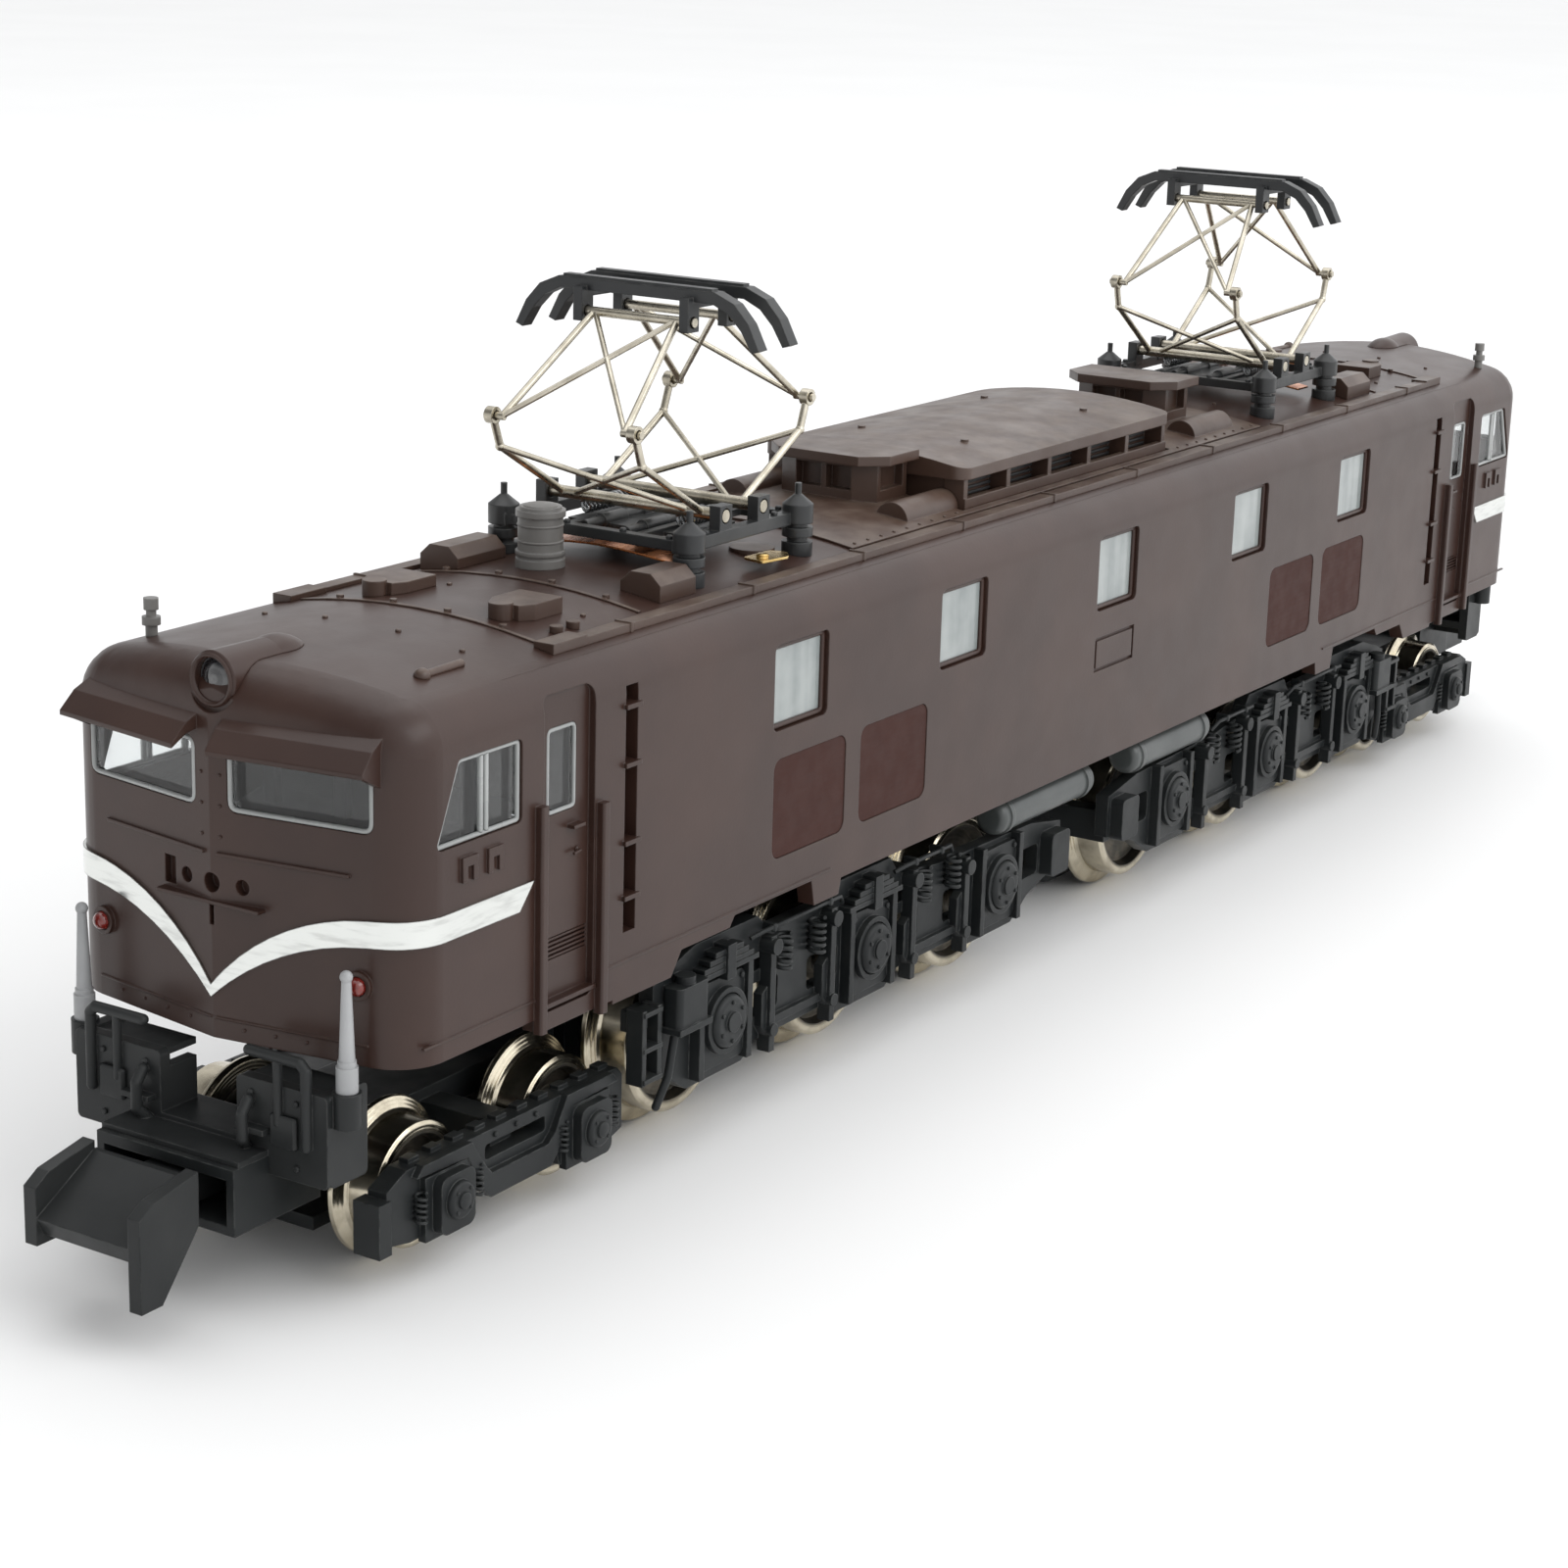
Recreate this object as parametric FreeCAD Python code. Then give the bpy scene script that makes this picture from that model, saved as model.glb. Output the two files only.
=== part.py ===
"""N gauge (9 mm) model of a streamlined 2-C+C-2 electric locomotive, as an assembly.

Millimetres, +Z up.  X runs along the locomotive: end "a" is -X, end "b" is +X.
The origin is under the centre of the locomotive, on the plane that the wheel flanges rest on.
End b is end a turned half a turn about Z.
"""
import FreeCAD, Part
import math
import os

V = FreeCAD.Vector
TURN_AXIS = V(0, 0, 1)

# ---------------------------------------------------------------- driving dimensions
HALF_W = 9.33            # body side to centre line
RIDGE_X = 62.1           # front ridge to the middle of the locomotive
SWEEP = 1.4              # how far each front panel falls back from the ridge to the side
CORNER_R = 2.3
EAVE_Z = 25.2            # roof height at the sides, before rounding
CROWN_Z = 26.4           # roof height on the centre line
ROOF_EDGE_R = 2.1
WALL = 0.9
CEILING_Z = 24.4
SKIRT_Z = 10.8           # bottom of the side between the bogies
CAB_SKIRT_Z = 10.6
FLOOR_Z = 11.1           # underside of the die-cast chassis

WINDOW_X = (-32.1, -16.9, 0.0, 16.9, 32.1)
WINDOW_W, WINDOW_Z0, WINDOW_Z1 = 4.65, 19.35, 23.45
FILTER_X = ((-34.3, -27.95), (-26.6, -20.25))
FILTER_Z0, FILTER_Z1 = 13.15, 18.0
DEEP = 12.0              # further out than any part of the body, for cutting through its sides

DRIVER_R, DRIVER_TREAD_R = 4.95, 4.17
LEADER_R, LEADER_TREAD_R = 3.5, 2.85
BACK_TO_BACK = 7.4
WHEEL_W, FLANGE_W = 2.2, 0.6
BOGIE_X = -23.6          # pivot of driving bogie a
AXLE_STEP = 13.2
LEADER_X = (-56.1, -46.2)
TRUCK_PIVOT_X = -42.1
FRAME_Y = 7.3            # inner face of the driving bogie side frames

MODULE = 0.4
AXLE_TEETH, IDLER_TEETH, TOWER_TEETH = 16, 17, 18
GEAR_HALF = 0.9
WORM_PITCH_R = 1.6
WORM_CORE_R, WORM_CREST_R = 1.1, 1.93
AXLE_R = 0.7
RUN = 0.06               # radial running clearance

PAN_X = -31.1            # centre of pantograph a
PAN_PIVOT_Z = 28.7
PAN_OFFSET = 1.6         # frame pivots and head pivots from the pantograph's centre
PAN_ARM = 7.1
PAN_ANGLES = (38.0, 43.0)    # arm angle at rest, pantograph a and b
PAN_LOWER_Y, PAN_UPPER_Y, PAN_HEAD_Y = 4.0, 3.45, 3.0
PAN_SHAFT_R, PAN_KNEE_R, PAN_HEAD_PIN_R = 0.3, 0.18, 0.22
INSULATOR_X, INSULATOR_Y = 4.6, 5.3

AXLE_Z = DRIVER_R
TOWER_Z = AXLE_Z + MODULE * (AXLE_TEETH + TOWER_TEETH) / 2
SHAFT_Z = TOWER_Z + MODULE * TOWER_TEETH / 2 + WORM_PITCH_R + 0.04


# ---------------------------------------------------------------- small tools
def box(x0, x1, y0, y1, z0, z1):
    return Part.makeBox(x1 - x0, y1 - y0, z1 - z0, V(x0, y0, z0))


def both_sides(shape):
    """The shape and its mirror image across the centre line."""
    return [shape, shape.mirror(V(0, 0, 0), V(0, 1, 0))]


def both_ends(shape):
    """The shape and its mirror image at the other end."""
    return [shape, shape.mirror(V(0, 0, 0), V(1, 0, 0))]


def four(shape):
    return [m for s in both_sides(shape) for m in both_ends(s)]


def turned(shape):
    """The same piece at end b."""
    copy = shape.copy()
    copy.rotate(V(0, 0, 0), TURN_AXIS, 180)
    return copy


def fuse(shapes):
    out = shapes[0]
    if len(shapes) > 1:
        out = out.multiFuse(shapes[1:])
    return out.removeSplitter()


def cut(shape, tools):
    return shape.cut(tools) if tools else shape


def cyl_x(x0, x1, y, z, r):
    return Part.makeCylinder(r, x1 - x0, V(x0, y, z), V(1, 0, 0))


def cyl_y(y0, y1, x, z, r):
    return Part.makeCylinder(r, y1 - y0, V(x, y0, z), V(0, 1, 0))


def cyl_z(z0, z1, x, y, r):
    return Part.makeCylinder(r, z1 - z0, V(x, y, z0))


def rod(p, q, r):
    """A round bar with hemispherical ends from p to q."""
    p, q = V(*p), V(*q)
    bar = Part.makeCylinder(r, (q - p).Length, p, q - p)
    return bar.multiFuse([Part.makeSphere(r, p), Part.makeSphere(r, q)])


def bar(p, q, r):
    """A round bar with flat ends from p to q."""
    p, q = V(*p), V(*q)
    return Part.makeCylinder(r, (q - p).Length, p, q - p)


def wire_rods(points, r):
    """A bent wire through the points."""
    return fuse([rod(a, b, r) for a, b in zip(points, points[1:])])


def face_of(points):
    return Part.Face(Part.makePolygon(list(points) + [points[0]]))


def plate_xz(points, y0, y1):
    """A flat outline of (x, z) points, extruded from y0 to y1."""
    return face_of([V(x, y0, z) for x, z in points]).extrude(V(0, y1 - y0, 0))


def plate_yz(points, x0, x1):
    return face_of([V(x0, y, z) for y, z in points]).extrude(V(x1 - x0, 0, 0))


def plate_xy(points, z0, z1):
    return face_of([V(x, y, z0) for x, y in points]).extrude(V(0, 0, z1 - z0))


def rounded(shape, r, direction):
    """The shape with its straight edges along a direction rounded."""
    edges = [e for e in shape.Edges
             if isinstance(e.Curve, Part.Line) and e.Curve.Direction.cross(direction).Length < 1e-6]
    return shape.makeFillet(r, edges)


def ring_y(y0, y1, x, z, outer, inner):
    return cyl_y(y0, y1, x, z, outer).cut(cyl_y(y0 - 1, y1 + 1, x, z, inner))


# ---------------------------------------------------------------- body shell
def plan_prism(grow, z0, z1):
    """The body's outline from above, grown outwards, between two heights."""
    slope = SWEEP / HALF_W
    side = HALF_W + grow
    ridge = RIDGE_X + grow * math.hypot(1, slope)
    corner = ridge - slope * side
    outline = [(-ridge, 0), (-corner, side), (corner, side), (ridge, 0), (corner, -side), (-corner, -side)]
    solid = plate_xy(outline, z0, z1)
    edges = [e for e in solid.Edges
             if abs(e.CenterOfMass.y) > side - 0.01 and abs(e.CenterOfMass.x) > corner - 0.01
             and abs(e.tangentAt(e.FirstParameter).z) > 0.9]
    return solid.makeFillet(CORNER_R + grow, edges)


def on_front(shape):
    """Carries a piece built in (outwards, along the panel, up) to the +Y front panel of end a."""
    piece = shape.mirror(V(0, 0, 0), V(1, 0, 0))
    piece.rotate(V(0, 0, 0), TURN_AXIS, -math.degrees(math.atan2(SWEEP, HALF_W)))
    piece.translate(V(-RIDGE_X, 0, 0))
    return piece


def on_front_normal():
    angle = math.atan2(SWEEP, HALF_W)
    return V(-math.cos(angle), math.sin(angle), 0)


def outward(x0, x1, y0, y1, z0, z1):
    """A box on the front panel: x counts outwards from the panel, y along it from the ridge."""
    return on_front(box(x0, x1, y0, y1, z0, z1))


def front_pin(x0, x1, r):
    """A round piece square to the front panel, where the tail light is."""
    return on_front(cyl_x(x0, x1, LENS_Y, LENS_Z, r))


def skirt_cutter():
    half = [(-64, 8), (-64, CAB_SKIRT_Z), (-52.2, CAB_SKIRT_Z), (-52.2, 9.9), (-46.9, 9.9), (-46.9, 9.7),
            (-42.4, 9.7), (-41.6, SKIRT_Z), (-37.7, SKIRT_Z), (-37.3, 11.3), (-30.7, 11.3), (-30.4, 10.0),
            (-28.2, 10.0), (-28.0, SKIRT_Z), (0, SKIRT_Z), (0, 8)]
    return both_ends(plate_xz(half, -12, 12))


def window_hole(x0, x1, z0, z1, y0=7.0, y1=11.0, r=0.35):
    return rounded(box(x0, x1, y0, y1, z0, z1), r, V(0, 1, 0))


CAB_WINDOW = ((-59.2, 19.55), (-57.7, 23.15), (-53.5, 23.15), (-53.5, 19.55))
FRONT_WINDOW = (0.85, 7.7, 20.4, 23.3)
DOOR = (-52.0, -48.4, 10.7, 24.5)
DOOR_WINDOW = (-51.4, -49.3, 19.2, 23.0)
LADDER_X, LADDER_Z = (-46.2, -45.3), (12.7, 24.0)
RUNG_Z = (14.4, 16.9, 20.4, 23.0)
LENS_Y, LENS_Z, LENS_R = 7.0, 14.05, 0.42
DOOR_VENT = (-51.9, -48.5, 12.8, 13.8)
MATCH_Z = 11.45          # the moulded line round the bottom of the body


def cab_side_window(y0, y1, inset=0.0):
    (x0, z0), (x1, z1), (x2, _), _ = CAB_WINDOW
    outline = [(x0 + 1.6 * inset, z0 + inset), (x1 + inset, z1 - inset),
               (x2 - inset, z1 - inset), (x2 - inset, z0 + inset)]
    return rounded(plate_xz(outline, y0, y1), 0.3, V(0, 1, 0))


def body_shell():
    outer = plan_prism(0, 9.5, CROWN_Z + 1)
    rise = CROWN_Z - EAVE_Z
    arch_r = (HALF_W ** 2 + rise ** 2) / (2 * rise)
    crown = cyl_x(-70, 70, 0, CROWN_Z - arch_r, arch_r)
    outer = outer.common(crown)
    top = max(outer.Faces, key=lambda f: f.CenterOfMass.z)
    outer = outer.makeFillet(ROOF_EDGE_R, [e for e in top.OuterWire.Edges])
    half = outer.common(box(-70, 70, -DEEP, 0, 8, 40))
    outer = fuse(both_sides(half))
    shell = outer.cut(plan_prism(-WALL, 8, CEILING_Z))
    shell = shell.cut(skirt_cutter() + side_openings() + front_openings())
    return fuse([shell] + front_details() + side_details())


def side_openings():
    """Side windows, cab and door windows, door recesses, ladder slots and filter recesses."""
    holes = []
    for x in WINDOW_X:
        holes += both_sides(window_hole(x - WINDOW_W / 2, x + WINDOW_W / 2, WINDOW_Z0, WINDOW_Z1))
    holes += four(cab_side_window(7, DEEP))
    holes += four(window_hole(*DOOR_WINDOW))
    recess = rounded(box(DOOR[0], DOOR[1], HALF_W - 0.35, DEEP, DOOR[2], DOOR[3]), 0.5, V(0, 1, 0))
    holes += four(recess)
    x0, x1, z0, z1 = DOOR_VENT
    holes += four(box(x0, x1, HALF_W - 0.55, DEEP, z0, z1))
    heights = (LADDER_Z[0],) + RUNG_Z + (LADDER_Z[1],)
    for z0, z1 in zip(heights, heights[1:]):
        holes += four(box(LADDER_X[0], LADDER_X[1], HALF_W - 0.65, DEEP, z0 + 0.1, z1 - 0.1))
    for x0, x1 in FILTER_X:
        holes += four(window_hole(x0, x1, FILTER_Z0, FILTER_Z1, HALF_W - 0.4, DEEP, 0.6))
    plate_seat = box(-2.3, 2.3, HALF_W - 0.15, DEEP, 16.0, 17.9).cut(box(-2.1, 2.1, 8, DEEP, 16.2, 17.7))
    return holes + both_sides(plate_seat)


def front_openings():
    """Windscreens, number plate holes, headlight notch and tail light sockets."""
    y0, y1, z0, z1 = FRONT_WINDOW
    holes = four(rounded(outward(-2, 3, y0, y1, z0, z1), 0.5, on_front_normal()))
    for y, r in ((0.0, 0.42), (1.5, 0.33), (-1.5, 0.33)):
        holes += both_ends(cyl_x(-RIDGE_X - 1, -RIDGE_X + 0.6, y, 17.3, r))
    holes += both_ends(box(-RIDGE_X - 1, -RIDGE_X + 0.8, 2.2, 2.9, 16.7, 17.9))
    holes += both_ends(box(-RIDGE_X - 1, -RIDGE_X + 0.35, -0.12, 0.12, 15.5, 16.35))
    holes += both_ends(cyl_x(-RIDGE_X - 1, HEAD_X + 0.02, 0, HEAD_Z, HEAD_R + 0.12))
    return holes + four(front_pin(-0.9, 0.3, LENS_R))


def front_details():
    """Visors, the bead and shelf under the windscreens, lens rims and the bottom line."""
    profile = [(-0.25, 24.4), (0.55, 24.0), (1.3, 23.25), (1.3, 23.05), (0.5, 23.55), (-0.25, 23.7)]
    visor = plate_xz(profile, 0.7, 8.0)
    cheek = plate_xz([(-0.25, 24.1), (1.2, 23.25), (1.2, 23.05), (-0.25, 22.3)], 7.7, 8.0)
    parts = four(on_front(fuse([visor, cheek])))
    parts += four(outward(-0.2, 0.12, 0.35, 6.6, 18.5, 18.65))
    parts += both_ends(box(-RIDGE_X - 0.12, -RIDGE_X + 0.8, -2.6, 2.9, 16.42, 16.57))
    parts += four(front_pin(-0.4, 0.22, 0.62).cut(front_pin(-1, 1, LENS_R)))
    parts += four(outward(-0.2, 0.06, 0.1, 7.4, MATCH_Z, MATCH_Z + 0.1))
    return parts


def side_details():
    """Rain gutter, handrails, ladder rungs, door fittings, plate holders and the bottom line."""
    side = HALF_W - 0.1
    parts = both_sides(box(-53.4, 53.4, 7.9, 8.2, 24.6, 25.42))
    for x, z0, z1 in ((-52.35, 10.0, 20.0), (-48.0, 9.7, 19.2)):
        rail = rounded(box(x - 0.25, x + 0.25, side, HALF_W + 0.4, z0, z1), 0.12, V(0, 0, 1))
        parts += four(rail)
    for z in RUNG_Z:
        x0, x1 = LADDER_X
        parts += four(box(x0 - 0.15, x1 + 0.1, HALF_W - 0.7, HALF_W + 0.2, z - 0.1, z + 0.1))
    for x0, x1 in ((-47.7, -29), (-60.0, -52.6)):
        parts += four(box(x0, x1, side, HALF_W + 0.06, MATCH_Z, MATCH_Z + 0.1))
    x0, x1, z0, z1 = DOOR_VENT
    slats = 5
    for k in range(slats):
        z = z0 + (k + 0.5) * (z1 - z0) / slats
        parts += four(box(x0 - 0.1, x1 + 0.1, HALF_W - 0.6, HALF_W - 0.36, z - 0.05, z + 0.05))
    parts += four(box(DOOR[0] - 0.1, DOOR[1] + 0.1, HALF_W - 0.5, HALF_W + 0.1, 10.9, 11.1))
    parts += four(box(-49.9, -49.1, HALF_W - 0.5, HALF_W + 0.05, 18.4, 18.55))
    for x in (-57.6, -55.9):
        holder = box(x, x + 1.0, side, HALF_W + 0.15, 17.95, 19.0)
        parts += four(holder.cut(box(x + 0.3, x + 0.7, 8, DEEP, 17.8, 18.6)))
    return parts


def air_filters():
    panels = []
    for x0, x1 in FILTER_X:
        panel = window_hole(x0 + 0.02, x1 - 0.02, FILTER_Z0 + 0.02, FILTER_Z1 - 0.02,
                            HALF_W - 0.39, HALF_W - 0.04, 0.58)
        panels += four(panel)
    return Part.makeCompound(panels)


def side_glazing():
    inner = HALF_W - WALL - 0.03
    strip = box(-36, 36, inner - 0.5, inner, 18.7, 24.0)
    panes = [window_hole(x - WINDOW_W / 2 + 0.03, x + WINDOW_W / 2 - 0.03, WINDOW_Z0 + 0.03,
                         WINDOW_Z1 - 0.03, inner - 0.2, HALF_W - 0.35, 0.32) for x in WINDOW_X]
    return Part.makeCompound(both_sides(fuse([strip] + panes)))


def cab_glass():
    """End a's clear windows: two windscreens, two cab side windows and two door windows."""
    y0, y1, z0, z1 = FRONT_WINDOW
    screen = rounded(outward(-0.85, -0.12, y0 + 0.03, y1 - 0.03, z0 + 0.03, z1 - 0.03), 0.47,
                     on_front_normal())
    side = cab_side_window(HALF_W - 0.85, HALF_W - 0.25, 0.03)
    x0, x1, dz0, dz1 = DOOR_WINDOW
    door = window_hole(x0 + 0.03, x1 - 0.03, dz0 + 0.03, dz1 - 0.03, HALF_W - 0.85, HALF_W - 0.45, 0.3)
    return Part.makeCompound(both_sides(screen) + both_sides(side) + both_sides(door))


HEAD_X, HEAD_Z, HEAD_R, HEAD_LENGTH = -61.8, 25.75, 1.2, 5.85
LAMP_R = 0.92


def headlight():
    """The torpedo-shaped headlight housing on the roof edge, with a socket for its lens."""
    tip, rim = HEAD_X + HEAD_LENGTH, HEAD_Z + HEAD_R
    profile = [V(HEAD_X, 0, HEAD_Z), V(HEAD_X, 0, rim - 0.1), V(HEAD_X + 0.1, 0, rim),
               V(HEAD_X + 3.2, 0, rim - 0.05)]
    tail = Part.Arc(profile[-1], V(tip - 0.9, 0, HEAD_Z + 0.88), V(tip, 0, HEAD_Z)).toShape()
    edges = [Part.LineSegment(a, b).toShape() for a, b in zip(profile, profile[1:])]
    edges += [tail, Part.LineSegment(V(tip, 0, HEAD_Z), profile[0]).toShape()]
    body = Part.Face(Part.Wire(edges)).revolve(V(0, 0, HEAD_Z), V(1, 0, 0), 360)
    return body.cut(cyl_x(HEAD_X - 1, HEAD_X + 0.7, 0, HEAD_Z, LAMP_R))


def headlight_lens():
    lens = cyl_x(HEAD_X + 0.35, HEAD_X + 0.69, 0, HEAD_Z, LAMP_R - 0.02)
    dome = Part.makeSphere(1.45, V(HEAD_X + 1.55, 0, HEAD_Z)).common(
        cyl_x(HEAD_X, HEAD_X + 0.5, 0, HEAD_Z, LAMP_R - 0.03))
    return fuse([lens, dome])


def tail_lenses():
    """Four red lenses, each a short rod with a domed end."""
    r = LENS_R - 0.02
    rod_end = 0.2
    dome = Part.makeSphere(r, V(rod_end, LENS_Y, LENS_Z))
    lens = cyl_x(-0.6, rod_end, LENS_Y, LENS_Z, r).fuse(dome)
    return Part.makeCompound(four(on_front(lens)))


def trim_band():
    """The bright strip round end a: a V on the front, level round the corners, cut slanting at the door."""
    z0, z1, tip = 15.75, 16.9, 12.4
    skin = plan_prism(0.14, tip - 1, z1 + 1).cut(plan_prism(0.0, tip - 2, z1 + 2))
    upper = Part.Arc(V(-64, 0, tip + 0.55), V(-64, 3.0, 15.5), V(-64, 8.2, z1)).toShape()
    lower = Part.Arc(V(-64, 0, tip), V(-64, 3.2, 14.6), V(-64, 8.2, z0)).toShape()
    ends = [Part.LineSegment(V(-64, 8.2, z1), V(-64, 10.5, z1)).toShape(),
            Part.LineSegment(V(-64, 10.5, z1), V(-64, 10.5, z0)).toShape(),
            Part.LineSegment(V(-64, 10.5, z0), V(-64, 8.2, z0)).toShape(), lower,
            Part.LineSegment(V(-64, 0, tip), V(-64, 0, tip + 0.55)).toShape()]
    half = Part.Face(Part.Wire(Part.__sortEdges__([upper] + ends))).extrude(V(4.2, 0, 0))
    side = plate_xz([(-60.3, z0), (-60.3, z1), (-52.8, z1), (-53.8, z0)], -11, 11)
    stencil = fuse(both_sides(half) + [side])
    band = skin.common(stencil)
    return max(band.Solids, key=lambda s: s.Volume)


# ---------------------------------------------------------------- roof
def roof_height(y):
    rise = CROWN_Z - EAVE_Z
    arch_r = (HALF_W ** 2 + rise ** 2) / (2 * rise)
    return CROWN_Z - arch_r + math.sqrt(arch_r ** 2 - y ** 2)


def seated(shape, shell):
    """The piece with the roof's own curve cut out of its underside."""
    return Part.makeCompound(shape.cut(shell).Solids)


def pair_on(shell, shape):
    """The piece at each end, cut to the shell, without the slivers that lie inside it."""
    ends = [piece.cut(shell) for piece in (shape, turned(shape))]
    return Part.makeCompound([max(piece.Solids, key=lambda s: s.Volume) for piece in ends])


HATCH_X, HATCH_Y, HATCH_Z = 12.0, 6.2, 28.1
HATCH_CROWN = 0.6        # rise of the hatch lid from its edges to its middle
LID_Z = 27.5


def roof_hatch(shell):
    """The long centre hatch with a crowned lid, and a row of louvre openings under it on each side."""
    crown_r = (HATCH_Y ** 2 + HATCH_CROWN ** 2) / (2 * HATCH_CROWN)
    top = HATCH_Z + HATCH_CROWN
    lid = rounded(box(-HATCH_X, HATCH_X, -HATCH_Y, HATCH_Y, LID_Z, top), 0.8, V(0, 0, 1))
    lid = lid.common(cyl_x(-HATCH_X, HATCH_X, 0, top - crown_r, crown_r))
    base = box(-HATCH_X + 0.5, HATCH_X - 0.5, -HATCH_Y + 1.3, HATCH_Y - 1.3, 25.8, LID_Z)
    bays = 5
    step = (2 * HATCH_X - 1.2) / bays
    ribs = []
    for k in range(bays + 1):
        x = -HATCH_X + 0.4 + k * step
        ribs += both_sides(box(x, x + 0.4, HATCH_Y - 1.4, HATCH_Y - 0.2, 25.6, LID_Z))
    sills = both_sides(box(-HATCH_X + 0.4, HATCH_X - 0.4, HATCH_Y - 0.5, HATCH_Y - 0.1, 25.6, 26.5))
    bolt_y = 3.2
    bolt_z = top - crown_r + math.sqrt(crown_r ** 2 - bolt_y ** 2)
    bolts = four(cyl_z(bolt_z - 0.2, bolt_z + 0.12, -6.75, bolt_y, 0.22))
    hollow = box(-HATCH_X + 1.3, HATCH_X - 1.3, -3.6, 3.6, 24, 26.9)
    return seated(fuse([lid, base] + ribs + sills + bolts), shell).cut(hollow)


HOOD_X, HOOD_LENGTH, HOOD_Y = (-16.3, 16.7), 4.1, 3.6
HOOD_Z = 28.9


def roof_hood(x0):
    """A ventilator hood: a flat lid with clipped front corners over a narrower louvred box."""
    x1 = x0 + HOOD_LENGTH
    clip = 1.2

    def outline(inset, side):
        return [(x1, side), (x0 + clip, side), (x0 + inset, side - clip), (x0 + inset, clip - side),
                (x0 + clip, -side), (x1, -side)]
    lid = plate_xy(outline(0.0, HOOD_Y), HOOD_Z - 0.5, HOOD_Z)
    side = HOOD_Y - 0.7
    trunk = plate_xy(outline(0.6, side), 25.8, HOOD_Z - 0.5)
    louvres = [box(x0, x0 + 1.2, y, y + 1.5, 27.0, HOOD_Z - 0.7) for y in (-1.65, 0.15)]
    louvres += both_sides(box(x0 + clip + 0.3, x1 - 0.4, side - 0.5, side + 1, 27.0, HOOD_Z - 0.7))
    return fuse([lid, trunk.cut(louvres)])


def roof_duct(x0):
    """A half-round duct along the roof beside a hood."""
    y, r = 4.8, 0.95
    return cyl_x(x0, x0 + 5.1, y, 26.0, r).common(box(x0, x0 + 6, y - 1, y + 1, 25.2, 28))


VENT_X, VENT_Y = -47.4, 3.5


def roof_vent(y):
    """A small hinged shutter with its round end block."""
    x = VENT_X
    lid = plate_xy([(x + 0.2, y - 0.8), (x + 0.9, y - 1.15), (x + 2.9, y - 1.15), (x + 2.9, y + 1.15),
                    (x + 0.9, y + 1.15), (x + 0.2, y + 0.8)], 25.7, 26.85)
    hinge = box(x + 2.8, x + 3.4, y - 0.5, y + 0.5, 25.7, 26.5)
    return fuse([lid, cyl_z(25.7, 26.95, x, y, 0.55), hinge])


def roof_locker(x0, x1, y):
    """A bevelled box beside the pantograph."""
    outline = [(y - 1.1, 25.4), (y - 1.1, 26.65), (y - 0.55, 27.15), (y + 0.55, 27.15), (y + 1.1, 26.65),
               (y + 1.1, 25.4)]
    return plate_yz(outline, x0, x1)


def roof_seam(x):
    """A raised joint across the roof, with its row of bolts."""
    lift = 0.08
    width, reach = 0.11, 6.5
    strip = box(x - width, x + width, -reach, reach, 25.0, CROWN_Z + 1).common(crown_bar(lift))
    bolts = [cyl_z(25.5, roof_height(y) + 0.2, x + 0.25, y, 0.17) for y in (-4.5, -1.5, 1.5, 4.5)]
    return fuse([strip] + bolts)


def crown_bar(lift):
    """A bar under the roof's own arch, raised a little."""
    rise = CROWN_Z - EAVE_Z
    arch_r = (HALF_W ** 2 + rise ** 2) / (2 * rise)
    return cyl_x(-RIDGE_X, RIDGE_X, 0, CROWN_Z - arch_r, arch_r + lift)


PLANK_Y, PLANK_TOP, PLANK_END = (6.95, 7.75), 25.95, 47.0
PLANK_JOINT_STEP = 9.7


def roof_plank():
    """The +Y running board with its joints and the step box at its end."""
    y0, y1 = PLANK_Y
    plank = box(-PLANK_END, PLANK_END, y0, y1, 24.9, PLANK_TOP)
    joints = []
    for k in range(5):
        x = PLANK_JOINT_STEP * (k + 0.5)
        joints += both_ends(box(x - 0.08, x + 0.08, y0 - 0.05, y1 + 0.05, 25.2, PLANK_TOP + 0.07))
    ends = both_ends(box(-49.3, -46.9, y0 - 0.25, y1, 24.9, PLANK_TOP + 0.1))
    return fuse([plank] + joints + ends)


def roof_fittings(shell):
    """Everything small that stands on the roof, as a set of separate mouldings."""
    panel = box(-23.5, 23.5, -6.6, 6.6, 24.5, CROWN_Z + 1).common(crown_bar(0.12))
    panel = panel.cut(box(-HATCH_X, HATCH_X, -HATCH_Y, HATCH_Y, 24, 28))
    parts = [panel] + both_sides(roof_plank())
    for x in HOOD_X:
        parts += [roof_hood(x)] + both_sides(roof_duct(x - 0.5))
    items = [roof_seam(-48.8), roof_seam(-41.3), roof_vent(VENT_Y), roof_vent(-VENT_Y)]
    items += [roof_locker(-40.6, -37.0, 5.3), roof_locker(-39.4, -36.6, -5.2)]
    items.append(fuse([rod((-56.4, -6.4, 25.85), (-53.9, -6.4, 25.9), 0.2),
                       Part.makeSphere(0.36, V(-56.4, -6.4, 25.85))]))
    items += [cyl_z(25.3, 26.2, x, -6.1, 0.3) for x in (-46.9, -45.7)]
    items.append(cyl_z(25.6, 26.4, -28.3, -3.9, 1.1))
    for i in items:
        parts += [i, turned(i)]
    solids = []
    for piece in parts:
        solids += piece.cut(shell).Solids
    merged = solids[0].multiFuse(solids[1:])
    return Part.makeCompound([s for s in merged.Solids if s.Volume > 0.004])


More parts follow.
